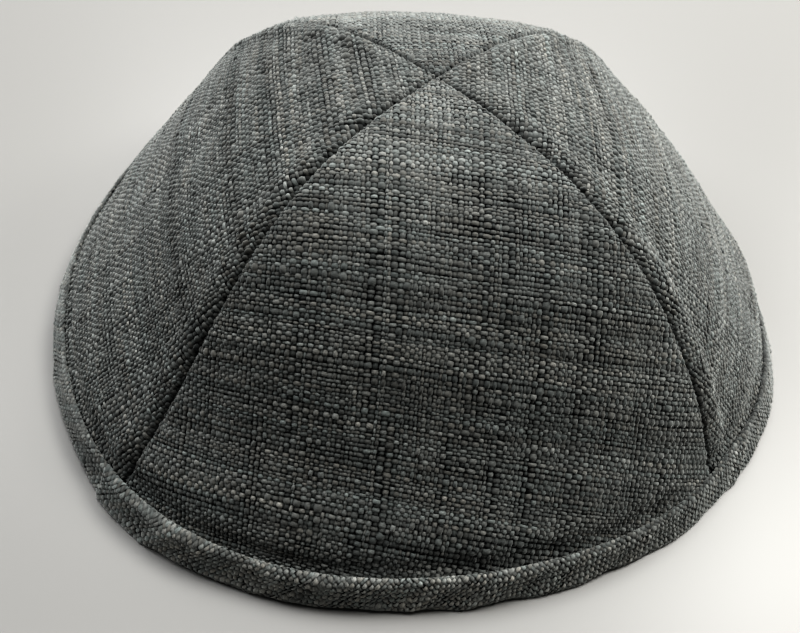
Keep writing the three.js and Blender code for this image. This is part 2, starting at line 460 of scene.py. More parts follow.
@dataclass(frozen=True)
class Sewing:
    """How far the sewn cloth stands off the crown's smooth face.

    Attributes:
        groove_depth: Depth of the narrow groove in which a seam lies.
        groove_reach: How far the groove reaches to each side.
        shoulder_depth: How far the cloth sinks beside a seam.
        shoulder_reach: How far the sinking reaches.
        allowance_rise: How far the pressed seam allowances lift the cloth.
        allowance_centre: Distance from the seam to the middle of the lifted band.
        allowance_reach: How far the band reaches from its middle.
        start_heights: The heights between which shoulder and band begin.
        full_half_width: The seams get flatter where a gore's half width is below this.
        share_at_top: How much of the seams' relief is left at the top.
        ditch_depth: How far the stitches press the cloth in above the binding.
        ditch_height: The ditch's height.
        ditch_reach: How far it reaches up and down.
        hill_rise: Height of the soft hills that cover the rest.
        hill_length: Distance from hill to hill.
        hill_seed: Start of the hills' noise.
        hill_layers: The layers that add up to them, by x, y and height.
        over_binding: Where the cloth bulges over the binding.
    """

    groove_depth: float = 0.7
    groove_reach: float = 0.5
    shoulder_depth: float = 0.3
    shoulder_reach: float = 1.8
    allowance_rise: float = 0.6
    allowance_centre: float = 3.9
    allowance_reach: float = 2.2
    start_heights: tuple[float, float] = (5.0, 11.0)
    full_half_width: float = 14.0
    share_at_top: float = 0.2
    ditch_depth: float = 0.55
    ditch_height: float = 8.3
    ditch_reach: float = 1.5
    hill_rise: float = 0.32
    hill_length: float = 19.0
    hill_seed: int = 5
    hill_layers: tuple[NoiseLayer, ...] = (
        NoiseLayer(1.0, (1.0, 0.0, 0.7), (0.0, 1.0, -0.6), (31.0, 17.0)),
        NoiseLayer(0.45, (2.3, 0.0, -1.0), (0.0, 2.3, 1.0), (57.0, 71.0)),
    )
    over_binding: Swell = Swell(bearing_deg=-4, reach_deg=13, height=9, reach=4.5, rise=2.0)

    def hills(self, point: np.ndarray) -> np.ndarray:
        """The soft hills at some points.

        Args:
            point: x, y and z of each point.

        Returns:
            Their height there, negative in a hollow.
        """
        noise = SoftNoise(self.hill_seed)
        place = [point[..., axis] / self.hill_length for axis in range(3)]
        return self.hill_rise * sum(layer.at(noise, *place) for layer in self.hill_layers)

    def relief(
        self,
        point: np.ndarray,
        from_seam: np.ndarray,
        half_width: np.ndarray,
        allowance: float,
    ) -> np.ndarray:
        """Adds up all that lifts the cloth or presses it in, most of it as bells.

        Args:
            point: Points of the smooth face.
            from_seam: Their distance from the nearer seam.
            half_width: Half the gore's width there.
            allowance: 1 where the seam allowances lie under the gore, or else 0.

        Returns:
            The offset along the outward direction.
        """
        height, distance = point[..., 2], np.maximum(from_seam, 0.0)
        groove = -self.groove_depth * bell(distance, self.groove_reach)
        shoulder = -self.shoulder_depth * bell(distance, self.shoulder_reach)
        band = bell(distance - self.allowance_centre, self.allowance_reach)
        sewn = shoulder + allowance * self.allowance_rise * band
        sewn = sewn * smooth_step(height, *self.start_heights)
        narrowing = np.minimum(1.0, half_width / self.full_half_width)
        seams = (groove + sewn) * (self.share_at_top + (1.0 - self.share_at_top) * narrowing)
        ditch = -self.ditch_depth * bell(height - self.ditch_height, self.ditch_reach)
        return seams + ditch + self.over_binding.at(point) + self.hills(point)


@dataclass(frozen=True)
class Dome:
    """The crown's outer face.

    Each level section of a gore is one arc through its two seams and its middle. root is
    1 at the rim and 0 at the top: the seams' distance from the axis is the rim's radius
    times root, and the height is the full height times 1 - root^roundness.

    Attributes:
        radius: The rim's radius.
        height: The crown's height.
        roundness: Power of root in the height.
        middle_ratio_at_top: A gore's middle, as a share of its seams' distance from the
            axis, towards the top. At the rim it is 1.
        sideways_sway: How far the sections halfway up are shifted sideways.
        waves: How the rim departs from a circle, as shares of its radius.
        fullness: How far the crown swells out above the binding.
        fullness_centre: Height at which it swells most.
        fullness_reach: How far that reaches up and down.
        dent_depth: How far the front right seam is dented there.
        dent_bearing_deg: Where the dent's middle lies.
        dent_reach_deg: How far it reaches to each side.
        tuck: How far the binding pulls the hem in.
        tuck_heights: The heights between which the tuck fades out.
        slope_step: Step across and in root with which directions are measured.
        slope_root: Nearer the top than this, the direction at this root is used.
        arc_to_chord: How much longer a gore's arc is than its chord.
        sewing: The relief of the sewn cloth.
        rim_sways: Where the rim, with the cloth next to it, strays in or out.
    """

    radius: float = 85.0
    height: float = 57.9
    roundness: float = 2.75
    middle_ratio_at_top: float = 0.816
    sideways_sway: float = 1.5
    waves: Waves = ((3, 0.016, -0.011), (4, -0.013, 0.0))
    fullness: Waves = ((0, 0.55, 0.0), (1, -0.76, -0.99), (2, -0.13, 0.46))
    fullness_centre: float = 9.0
    fullness_reach: float = 9.0
    dent_depth: float = 1.3
    dent_bearing_deg: float = -42.0
    dent_reach_deg: float = 10.0
    tuck: Waves = ((0, 1.45, 0.0), (1, -0.47, 0.0))
    tuck_heights: tuple[float, float] = (2.0, 8.0)
    slope_step: float = 0.002
    slope_root: float = 0.03
    arc_to_chord: float = 1.08
    sewing: Sewing = Sewing()
    rim_sways: tuple[Swell, ...] = (
        Swell(bearing_deg=-27, reach_deg=15, height=0, reach=14, rise=1.1),
        Swell(bearing_deg=0, reach_deg=11, height=0, reach=7, rise=-0.9),
        Swell(bearing_deg=154, reach_deg=17, height=0, reach=14, rise=-2.0),
        Swell(bearing_deg=184, reach_deg=17, height=0, reach=14, rise=1.2),
    )

    def level(self, root: np.ndarray) -> np.ndarray:
        """Height as a share of the crown's, from 0 at the rim to 1 at the top."""
        return 1.0 - root**self.roundness

    def root_at_height(self, height: np.ndarray) -> np.ndarray:
        """The root whose level has that height."""
        return (1.0 - height / self.height) ** (1.0 / self.roundness)

    @staticmethod
    def wave_sum(waves: Waves, bearing: np.ndarray) -> np.ndarray:
        """The sum of cosine and sine waves.

        Args:
            waves: The waves.
            bearing: Place round the axis, in radians.

        Returns:
            Their sum at each place.
        """
        total = np.zeros_like(bearing)
        for lobes, cosine, sine in waves:
            total = total + cosine * np.cos(lobes * bearing) + sine * np.sin(lobes * bearing)
        return total

    def rim_fullness(self, bearing: np.ndarray, height: np.ndarray) -> np.ndarray:
        """How far the crown swells above the binding, or the binding tucks it in.

        The swelling goes round the rim in waves and falls off up and down as a bell. One
        seam dents it. The tuck fades out along a smooth step.

        Args:
            bearing: Place round the rim, in radians.
            height: Height above the table.

        Returns:
            The outward offset.
        """
        aside = turn_from(self.dent_bearing_deg, np.degrees(bearing))
        dent = self.dent_depth * bell(aside, self.dent_reach_deg)
        fall_off = bell(height - self.fullness_centre, self.fullness_reach)
        swelling = (self.wave_sum(self.fullness, bearing) - dent) * fall_off
        held = 1.0 - smooth_step(height, *self.tuck_heights)
        return swelling - self.wave_sum(self.tuck, bearing) * held

    def point(self, gore: Gore, across: np.ndarray, root: np.ndarray) -> np.ndarray:
        """Points of the smooth face.

        The arc's middle stands off the chord by its rise, so its half angle is twice the
        angle whose tangent is rise over half chord. A point is the chord's centre, plus
        the half chord times sin(share of the angle) / sin(angle), plus the rise times
        the matching share of 1 - cos(angle).

        Args:
            gore: The panel.
            across: Place between its seams, from -1 to 1.
            root: Place between the rim, 1, and the top, 0.

        Returns:
            x, y and z of each point.
        """
        level = self.level(root)
        bow = 4.0 * level * (1.0 - level)
        left, right = gore.start.spot(bow), gore.end.spot(bow)
        middle_angle = math.radians(gore.start.bearing_deg + gore.span_deg / 2.0)
        ratio = 1.0 + (self.middle_ratio_at_top - 1.0) * level
        middle = ratio[..., None] * np.array([math.cos(middle_angle), math.sin(middle_angle)])
        centre, half_chord = (left + right) / 2.0, (right - left) / 2.0
        rise = middle - centre
        lengths = np.linalg.norm(rise, axis=-1), np.linalg.norm(half_chord, axis=-1)
        angle = 2.0 * np.arctan2(*lengths)
        along = np.sin(across * angle) / np.sin(angle)
        lift = (np.cos(across * angle) - np.cos(angle)) / (1.0 - np.cos(angle))
        flat = centre + half_chord * along[..., None] + rise * lift[..., None]
        bearing = np.arctan2(flat[..., 1], flat[..., 0])
        outward = np.stack([np.cos(bearing), np.sin(bearing)], axis=-1)
        flat = flat * (self.radius * root * (1.0 + self.wave_sum(self.waves, bearing)))[..., None]
        flat = flat + outward * self.rim_fullness(bearing, self.height * level)[..., None]
        x = flat[..., 0] + self.sideways_sway * bow
        return np.stack([x, flat[..., 1], self.height * level], axis=-1)

    def normal(self, gore: Gore, across: np.ndarray, root: np.ndarray) -> np.ndarray:
        """The outward direction, square to a small step down and a small step across.

        Args:
            gore: The panel.
            across: Place between its seams.
            root: Place between rim and top.

        Returns:
            The direction at each place, of length one.
        """
        root = np.maximum(root, self.slope_root)
        here = self.point(gore, across, root)
        beside = self.point(gore, across + self.slope_step, root) - here
        below = self.point(gore, across, root + self.slope_step) - here
        return unit(np.cross(below, beside))

    def half_width(self, gore: Gore, root: np.ndarray) -> np.ndarray:
        """Half the straight distance between a gore's seams."""
        return self.radius * root * math.sin(math.radians(gore.span_deg / 2.0))

    def seam_distance(self, gore: Gore, across: np.ndarray, root: np.ndarray) -> np.ndarray:
        """Distance from the nearer seam, over the cloth."""
        return (1.0 - np.abs(across)) * self.half_width(gore, root) * self.arc_to_chord

    def sway(self, point: np.ndarray) -> np.ndarray:
        """How far the rim, with the cloth next to it, strays outwards."""
        return sum(swell.at(point) for swell in self.rim_sways)

    def lifted(
        self, gore: Gore, across: np.ndarray, root: np.ndarray, lift: np.ndarray | float
    ) -> np.ndarray:
        """Points at a lift above the sewn cloth's middle surface, swayed with the rim.

        Args:
            gore: The panel.
            across: Place between its seams.
            root: Place between rim and top.
            lift: Height above the cloth's middle surface.

        Returns:
            x, y and z of each point.
        """
        point = self.point(gore, across, root)
        from_seam = self.seam_distance(gore, across, root)
        half_width = self.half_width(gore, root)
        offset = self.sewing.relief(point, from_seam, half_width, gore.allowance) + lift
        offset = offset[..., None] * self.normal(gore, across, root)
        return point + offset + away_from_axis(point) * self.sway(point)[..., None]

    def rim_point(self, bearing_deg: np.ndarray, height: np.ndarray) -> np.ndarray:
        """Points of the smooth face at any bearing round the rim, at a height.

        Args:
            bearing_deg: Place round the rim.
            height: Height above the table.

        Returns:
            x, y and z of each point.
        """
        bearing_deg, height = np.broadcast_arrays(bearing_deg, height)
        root = self.root_at_height(height)
        result = np.zeros((*bearing_deg.shape, 3))
        for gore in GORES:
            over = (bearing_deg - gore.start.bearing_deg) % FULL_TURN_DEG < gore.span_deg
            across = gore.across_at(bearing_deg)
            result = np.where(over[..., None], self.point(gore, across, root), result)
        return result


@dataclass(frozen=True)
class ClothNet:
    """How the flat cloth of one gore lies over the dome.

    The gore's middle line is laid straight. A cross thread at a place on it lies in the
    plane that meets the middle line there at a right angle, and places along it are
    measured over the surface. So a flat place has two numbers, along a cross thread and
    up the middle line, both in millimetres.

    Attributes:
        dome: The crown's face.
        gore: The panel.
        line_roots: The roots from which and to which the middle line is measured.
        line_points: How many places on it are measured.
        row_count: How many cross threads the net has.
        columns: How many places on each are worked out.
        overrun: How far across they go, where a seam is at 1.
        furthest_root: They are looked for down to here, past the rim.
        along_step: Distance between the finished table's entries.
        reach: How far the table goes to each side of the middle line.
        lowest: Flat places are looked for from this far up, which is below the rim.
        halvings: How often ranges are halved in looking for a place.
    """

    dome: Dome
    gore: Gore
    line_roots: tuple[float, float] = (1.15, 0.004)
    line_points: int = 900
    row_count: int = 120
    columns: int = 97
    overrun: float = 1.08
    furthest_root: float = 1.3
    along_step: float = 1.0
    reach: float = 78.0
    lowest: float = -14.0
    halvings: int = 28

    @cached_property
    def middle_line(self) -> tuple[np.ndarray, np.ndarray, np.ndarray]:
        """Distances up the middle line from the rim, and the points and directions there."""
        root = np.linspace(*self.line_roots, self.line_points)
        points = self.dome.point(self.gore, np.zeros_like(root), root)
        steps = np.linalg.norm(np.diff(points, axis=0), axis=-1)
        up = np.concatenate([[0.0], np.cumsum(steps)])
        up = up - np.interp(-1.0, -root, up)
        directions = unit(np.gradient(points, up, axis=0))
        return up, points, directions

    def on_middle(self, up: np.ndarray) -> tuple[np.ndarray, np.ndarray]:
        """Points and directions of the middle line at distances up it.

        Args:
            up: Distances from the rim.

        Returns:
            The points, and the directions of the line there.
        """
        known, points, directions = self.middle_line
        at = [np.interp(up, known, points[:, axis]) for axis in range(3)]
        towards = [np.interp(up, known, directions[:, axis]) for axis in range(3)]
        return np.stack(at, axis=-1), np.stack(towards, axis=-1)

    def is_above(self, points: np.ndarray, up: np.ndarray) -> np.ndarray:
        """Whether points lie above the plane square to the middle line, that far up it."""
        origin, direction = self.on_middle(up)
        return np.sum((points - origin) * direction, axis=-1) > 0.0

    @cached_property
    def rows(self) -> np.ndarray:
        """Distances up the middle line at which the net has a cross thread."""
        return np.linspace(0.0, self.middle_line[0][-1], self.row_count)

    @cached_property
    def strands(self) -> tuple[np.ndarray, np.ndarray, np.ndarray]:
        """The net's cross threads as across, root and distance along.

        For each row and each place across, halving finds the root at which the dome
        meets the row's plane, because the plane's distance only grows towards the top.
        """
        shape = (self.row_count, self.columns)
        across = np.linspace(-self.overrun, self.overrun, self.columns)
        across = np.broadcast_to(across, shape)
        up = self.rows[:, None]
        root = narrowed(
            np.zeros(shape),
            np.full(shape, self.furthest_root),
            self.halvings,
            lambda tried: self.is_above(self.dome.point(self.gore, across, tried), up),
        )
        points = self.dome.point(self.gore, across, root)
        steps = np.linalg.norm(np.diff(points, axis=1), axis=-1)
        along = np.concatenate([np.zeros((len(steps), 1)), np.cumsum(steps, axis=1)], axis=1)
        middle = self.columns // 2
        return across, root, along - along[:, middle : middle + 1]

    @cached_property
    def table(self) -> np.ndarray:
        """Across and root at even steps along every row."""
        even = np.arange(-self.reach, self.reach + self.along_step, self.along_step)
        rows = []
        for across, root, along in zip(*self.strands):
            past = even - np.clip(even, along[0], along[-1])
            slope = (across[-1] - across[0]) / (along[-1] - along[0])
            at = np.interp(even, along, across) + past * slope
            rows.append(np.stack([at, np.interp(even, along, root)], axis=-1))
        return np.array(rows)

    def on_dome(self, along: np.ndarray, up: np.ndarray) -> tuple[np.ndarray, np.ndarray]:
        """Across and root of flat places."""
        place = joined(self.table, up / self.rows[1], (along + self.reach) / self.along_step)
        return place[..., 0], place[..., 1]

    def flat_place(self, across: np.ndarray, root: np.ndarray) -> np.ndarray:
        """The flat places of points on the dome, by halving along the middle line.

        Args:
            across: Place of each point between the seams.
            root: Its place between rim and top.

        Returns:
            Two numbers a point, along and up.
        """
        points = self.dome.point(self.gore, across, root)
        up = narrowed(
            np.full(across.shape, self.lowest),
            np.full(across.shape, self.rows[-1]),
            self.halvings,
            lambda tried: self.is_above(points, tried),
        )
        column = (across + self.overrun) / (2 * self.overrun) * (self.columns - 1)
        return np.stack([joined(self.strands[2], up / self.rows[1], column), up], axis=-1)


class ClothSide(Enum):
    """Which side of the cloth a face shows. The value is its material's number."""

    BETWEEN_THREADS = 0
    REVERSE = 1


@dataclass(frozen=True)
class ThreadSet:
    """The uneven threads of one direction: thick places, thin places and slubs.

    Attributes:
        pitch: Mean distance from thread to thread.
        unevenness: Spread of the threads' widths, as a share.
        slub_share: Share of threads that are spun thick.
        slub_factor: How many times as thick those are.
        thickest: No thread is thicker than this share of the pitch.
    """

    pitch: float
    unevenness: float
    slub_share: float
    slub_factor: float = 1.4
    thickest: float = 1.5

    def lay(
        self, seed: int, low: float, high: float, stretch: float
    ) -> tuple[np.ndarray, np.ndarray]:
        """Lays threads side by side, each touching the next.

        Args:
            seed: Start of the random widths.
            low: Place of the first thread.
            high: No thread is past this.
            stretch: Spacing as a share of the usual one.

        Returns:
            The threads' places and their widths.
        """
        pitch = self.pitch * stretch
        count = int((high - low) / pitch)
        random = np.random.default_rng(seed)
        widths = pitch * np.exp(self.unevenness * random.standard_normal(count))
        widths = np.where(random.random(count) < self.slub_share, widths * self.slub_factor, widths)
        widths = np.minimum(widths * pitch / widths.mean(), self.thickest * pitch)
        return low + np.cumsum(widths) - widths / 2.0, widths


@dataclass(frozen=True)
class FloatForm:
    """The visible hump of a thread where it passes over one crossing thread.

    The hump is a small open patch: its centre line rises to the crest and dives at both
    ends as 1 - |station|^dive, where a station is a place along it from -1 to 1. Its width
    is 1 - taper |station|^3 of the whole, and its sides fall off with the square of the
    distance from the centre line.

    Attributes:
        sink: How deep its ends lie.
        dive: How late and sharply they go down.
        taper: How much narrower they are.
        side_drop: How much lower its sides lie, as a share of its width.
        stations: Places of its points along the thread.
        sides: Their places across it.
    """

    sink: float = 0.28
    dive: float = 2.5
    taper: float = 0.1
    side_drop: float = 0.25
    stations: tuple[float, ...] = (-1.0, -0.6, 0.0, 0.6, 1.0)
    sides: tuple[float, ...] = (-1.0, 0.0, 1.0)

    def shape(
        self, length: np.ndarray, width: np.ndarray, crest: np.ndarray
    ) -> tuple[np.ndarray, np.ndarray, np.ndarray]:
        """Works out every hump's patch of points.

        Args:
            length: Whole length of each hump.
            width: Whole width of each hump.
            crest: Height of each hump's top.

        Returns:
            Distance along the thread, distance to its side and lift, each with one line a
            hump and one entry a point.
        """
        station, side = np.meshgrid(self.stations, self.sides, indexing="ij")
        station, side = station.ravel(), side.ravel()
        narrowing = 1.0 - self.taper * np.abs(station) ** 3
        along = length[:, None] / 2.0 * station
        beside = width[:, None] / 2.0 * side * narrowing
        hump = 1.0 - np.abs(station) ** self.dive
        lift = -self.sink + (crest[:, None] + self.sink) * hump
        lift = lift - self.side_drop * width[:, None] * side**2
        return along, beside, lift

    @property
    def points(self) -> int:
        """Points in one patch."""
        return len(self.stations) * len(self.sides)

    def quads(self, count: int) -> np.ndarray:
        """The faces of so many patches, with their outer sides outwards."""
        one = grid_quads(len(self.stations), len(self.sides))
        return (one[None, :, :] + np.arange(count)[:, None, None] * self.points).reshape(-1, 4)


@dataclass(frozen=True)
class YarnTones:
    """The greys of the mixed fibres, from the darkest threads to the lightest.

    Attributes:
        hexes: sRGB colours from dark to light, evenly spaced.
        warm: The few threads with brownish fibres.
        cool: The bluish green ones.
    """

    hexes: tuple[str, ...] = ("#141515", "#373938", "#626462", "#939592", "#c8c9c4")
    warm: str = "#8a8378"
    cool: str = "#667271"

    def colours(self, tone: np.ndarray, cast: np.ndarray) -> np.ndarray:
        """Linear colours for tones from 0 to 1, leaning warm or cool with cast.

        Args:
            tone: Lightness of each point.
            cast: From -1, cool, to 1, warm.

        Returns:
            Red, green and blue of each point.
        """
        steps = np.linspace(0.0, 1.0, len(self.hexes))
        ramp = np.array([linear_rgba(step)[:3] for step in self.hexes])
        base = np.stack([np.interp(tone, steps, ramp[:, axis]) for axis in range(3)], axis=-1)
        grey = base.mean(axis=-1, keepdims=True)
        warm, cool = linear_rgba(self.warm)[:3], linear_rgba(self.cool)[:3]
        leaning = np.where(cast[..., None] > 0, warm, cool)
        leaning = leaning / leaning.mean(axis=-1, keepdims=True) * grey
        share = np.abs(cast)[..., None]
        return base * (1.0 - share) + leaning * share


class Draw(IntEnum):
    """The random choices of a cloth. The value is added to the cloth's seed."""

    WARP_WIDTHS = 0
    WEFT_WIDTHS = 1
    STRAYING = 2
    THICKNESS = 3
    HUMPS = 4
    SHADE = 5


@dataclass(frozen=True)
class ThreadDrift:
    """Soft noise that drifts along each thread and differs from thread to thread.

    Attributes:
        draw: Which of the cloth's noises it reads.
        step: Lattice steps of the noise from a thread to the next.
        length: Length of thread to a lattice step.
        weft_start: Lattice place of the first cross thread. The upright ones start at 0.
    """

    draw: Draw
    step: float
    length: float
    weft_start: float

    def warps(self, seed: int, column: np.ndarray, up: np.ndarray) -> np.ndarray:
        """The noise of upright threads, by their number and the place up them."""
        return SoftNoise(seed + self.draw).at(column * self.step, up / self.length)

    def wefts(self, seed: int, row: np.ndarray, along: np.ndarray) -> np.ndarray:
        """The noise of cross threads, by their number and the place along them."""
        noise = SoftNoise(seed + self.draw)
        return noise.at(row * self.step + self.weft_start, along / self.length)


@dataclass(frozen=True)
class Crossings:
    """The crossings of a cloth, each with the hump of the thread that is on top.

    Attributes:
        place: Two numbers a crossing, along and up the flat cloth.
        way: The thread's direction there.
        length: Whole length of the hump.
        width: Whole width of the hump.
        crest: Height of its top.
        tone: Its lightness, from 0 to 1.
        cast: Its colour, from cool below 0 to warm above.
    """

    place: np.ndarray
    way: np.ndarray
    length: np.ndarray
    width: np.ndarray
    crest: np.ndarray
    tone: np.ndarray
    cast: np.ndarray

    def only(self, kept: np.ndarray) -> "Crossings":
        """The crossings at which kept is true."""
        return Crossings(**{name: values[kept] for name, values in vars(self).items()})

    def lightened(self, step: np.ndarray) -> "Crossings":
        """The same crossings with a step of tone added, negative to darken them."""
        return replace(self, tone=self.tone + step)


@dataclass(frozen=True)
class Humps:
    """The points of all humps, with one line a hump and one entry a point.

    Attributes:
        x: Place along the flat cloth.
        y: Place up the flat cloth.
        lift: Height above the cloth's middle surface.
        along: Distance along the thread from the hump's middle.
        beside: Distance to the thread's side.
        colours: Red, green and blue in linear light.
    """

    x: np.ndarray
    y: np.ndarray
    lift: np.ndarray
    along: np.ndarray
    beside: np.ndarray
    colours: np.ndarray


@dataclass(frozen=True)
class PlainWeave:
    """A one-over, one-under cloth of uneven yarns, as a lattice of crossings.

    Attributes:
        warps: The upright threads.
        wefts: The cross threads.
        form: The hump of a thread over a crossing.
        tones: The yarn's colours.
        wander: How far a thread strays sideways.
        straying: How its straying drifts.
        warp_thickening: How far an upright thread's thickness drifts, as a share.
        weft_thickening: The same of a cross thread's.
        thickening: How the thickness drifts.
        float_length: Length of a hump, as a share of the room between its neighbours.
        evenness: How much of a hump's length is the same for all.
        length_spread: Random spread of the humps' lengths, as a share.
        width_spread: The same of their widths.
        crest_spread: The same of their heights.
        shift: Random shift of a hump from its crossing.
        turn_deg: Random turn of a hump from its thread's direction.
        weft_fullness: Width of a cross thread's hump, as a share of the thread's room.
        warp_fullness: The same of an upright thread's.
        weft_crest: Height of a cross thread's hump where the thread is of usual width.
        warp_crest: The same of an upright thread's.
        tone_middle: Mean lightness of the cross threads.
        warp_tone_step: How much lighter the upright threads are, negative where darker.
        tone_by_thread: Random spread of lightness from thread to thread.
        tone_by_width: How much lighter a thread gets as its width goes down to nothing.
        tone_by_band: How much lighter or darker a whole band of cross threads may be.
        banding: How the bands drift.
        tone_along_thread: How far a thread's lightness drifts.
        shading: How it drifts.
        tone_by_hump: Random spread of lightness from hump to hump.
        cast_most: How far a thread's colour leans warm or cool, at most.
        casting: How it drifts.
        painted_shade_from: Lift below which a hump's yarn starts to get painted shade, which stands
            in for the shade where it dives under crossing threads.
        painted_shade_depth: Depth below that at which the painted shade is darkest.
        painted_shade_most: How much darker the painted shade makes it there, as a share.
    """

    warps: ThreadSet = ThreadSet(pitch=0.82, unevenness=0.24, slub_share=0.06)
    wefts: ThreadSet = ThreadSet(pitch=0.8, unevenness=0.18, slub_share=0.05)
    form: FloatForm = FloatForm()
    tones: YarnTones = YarnTones()
    wander: float = 0.35
    straying: ThreadDrift = ThreadDrift(Draw.STRAYING, step=0.23, length=13.0, weft_start=64.0)
    warp_thickening: float = 0.22
    weft_thickening: float = 0.26
    thickening: ThreadDrift = ThreadDrift(Draw.THICKNESS, step=7.37, length=6.0, weft_start=50.0)
    float_length: float = 1.5
    evenness: float = 0.3
    length_spread: float = 0.12
    width_spread: float = 0.08
    crest_spread: float = 0.2
    shift: float = 0.04
    turn_deg: float = 6.0
    weft_fullness: float = 1.0
    warp_fullness: float = 0.78
    weft_crest: float = 0.26
    warp_crest: float = 0.1
    tone_middle: float = 0.6
    warp_tone_step: float = -0.07
    tone_by_thread: float = 0.05
    tone_by_width: float = 0.18
    tone_by_band: float = 0.07
    banding: ThreadDrift = ThreadDrift(Draw.SHADE, step=0.37, length=34.0, weft_start=90.0)
    tone_along_thread: float = 0.1
    shading: ThreadDrift = ThreadDrift(Draw.SHADE, step=5.31, length=9.0, weft_start=40.0)
    tone_by_hump: float = 0.04
    cast_most: float = 0.4
    casting: ThreadDrift = ThreadDrift(Draw.SHADE, step=3.7, length=14.0, weft_start=9.0)
    painted_shade_from: float = 0.08
    painted_shade_depth: float = 0.4
    painted_shade_most: float = 0.65

    def crossings(
        self,
        seed: int,
        reach: tuple[float, float, float, float],
        slope_deg: float,
        lean_deg: float,
        stretch: float = 1.0,
    ) -> Crossings:
        """Lays both sets of threads and works out the hump at each of their crossings.

        Args:
            seed: Start of the random choices.
            reach: Lowest and highest place along, then lowest and highest place up.
            slope_deg: How far the cross threads drop to the right.
            lean_deg: How far the upright threads lean to the right.
            stretch: Spacing of the threads as a share of the usual one.

        Returns:
            All crossings within the reach.
        """
        warp_at, warp_width = self.warps.lay(seed + Draw.WARP_WIDTHS, *reach[:2], stretch)
        weft_at, weft_width = self.wefts.lay(seed + Draw.WEFT_WIDTHS, *reach[2:], stretch)
        column, row = np.meshgrid(np.arange(len(warp_at)), np.arange(len(weft_at)), indexing="ij")
        column, row = column.ravel(), row.ravel()
        along, up = warp_at[column], weft_at[row]
        along = along + self.wander * self.straying.warps(seed, column, up)
        up = up + self.wander * self.straying.wefts(seed, row, along)
        slope, lean = math.radians(slope_deg), math.radians(lean_deg)
        weft_way = np.array([math.cos(slope), -math.sin(slope)])
        warp_way = np.array([math.sin(lean), math.cos(lean)])
        place = along[:, None] * weft_way + up[:, None] * warp_way

        weft_on_top = (column + row) % 2 == 0
        warp_thickness = 1.0 + self.warp_thickening * self.thickening.warps(seed, column, up)
        weft_thickness = 1.0 + self.weft_thickening * self.thickening.wefts(seed, row, along)
        warp_here = warp_width[column] * warp_thickness
        weft_here = weft_width[row] * weft_thickness
        width = np.where(weft_on_top, weft_here, warp_here)
        room = np.where(weft_on_top, warp_here, weft_here)
        pitch, count = self.warps.pitch, len(along)
        random = np.random.default_rng(seed + Draw.HUMPS)
        length = self.float_length * (self.evenness * pitch + (1.0 - self.evenness) * room)
        length = length * np.exp(random.normal(0.0, self.length_spread, count))
        width = width * np.exp(random.normal(0.0, self.width_spread, count))
        crest = np.where(weft_on_top, self.weft_crest, self.warp_crest) * width / pitch
        crest = crest * np.exp(random.normal(0.0, self.crest_spread, count))
        place = place + random.normal(0.0, self.shift, (count, 2))
        turn = np.radians(random.normal(0.0, self.turn_deg, count))
        x, y = np.where(weft_on_top[:, None], weft_way, warp_way).T
        way = np.stack(
            [x * np.cos(turn) - y * np.sin(turn), x * np.sin(turn) + y * np.cos(turn)], axis=-1
        )

        warp_tone = random.normal(0.0, self.tone_by_thread, len(warp_at))[column]
        weft_tone = random.normal(0.0, self.tone_by_thread, len(weft_at))[row]
        warp_tone = warp_tone + self.tone_by_width * (1.0 - warp_width[column] / pitch)
        weft_tone = weft_tone + self.tone_by_width * (1.0 - weft_width[row] / pitch)
        warp_tone = warp_tone + self.tone_along_thread * self.shading.warps(seed, column, up)
        weft_tone = weft_tone + self.tone_along_thread * self.shading.wefts(seed, row, along)
        weft_tone = weft_tone + self.tone_by_band * self.banding.wefts(seed, row, along)
        tone = np.where(weft_on_top, weft_tone, warp_tone + self.warp_tone_step)
        tone = tone + self.tone_middle + random.normal(0.0, self.tone_by_hump, count)
        weft_cast = self.casting.wefts(seed, row, along)
        warp_cast = self.casting.warps(seed, column, up)
        return Crossings(
            place=place,
            way=way,
            length=length,
            width=width * np.where(weft_on_top, self.weft_fullness, self.warp_fullness),
            crest=crest,
            tone=np.clip(tone, 0.0, 1.0),
            cast=self.cast_most * np.where(weft_on_top, weft_cast, warp_cast),
        )

    def humps(self, made: Crossings) -> Humps:
        """Turns crossings into the points of their humps, with painted shade on the yarn where it
        dives under crossing threads.

        Args:
            made: The crossings.

        Returns:
            The humps' points.
        """
        along, beside, lift = self.form.shape(made.length, made.width, made.crest)
        way_x, way_y = made.way[:, :1], made.way[:, 1:]
        x = made.place[:, :1] + along * way_x - beside * way_y
        y = made.place[:, 1:] + along * way_y + beside * way_x
        # Painted shade: yarn below a lift is darkened, for the shade where it dives under crossing
        # threads.
        gap_painted_shade = np.clip((self.painted_shade_from - lift) / self.painted_shade_depth, 0.0, 1.0)
        tone = made.tone[:, None] * (1.0 - self.painted_shade_most * gap_painted_shade)
        cast = np.broadcast_to(made.cast[:, None], x.shape)
        return Humps(x, y, lift, along, beside, self.tones.colours(tone, cast))


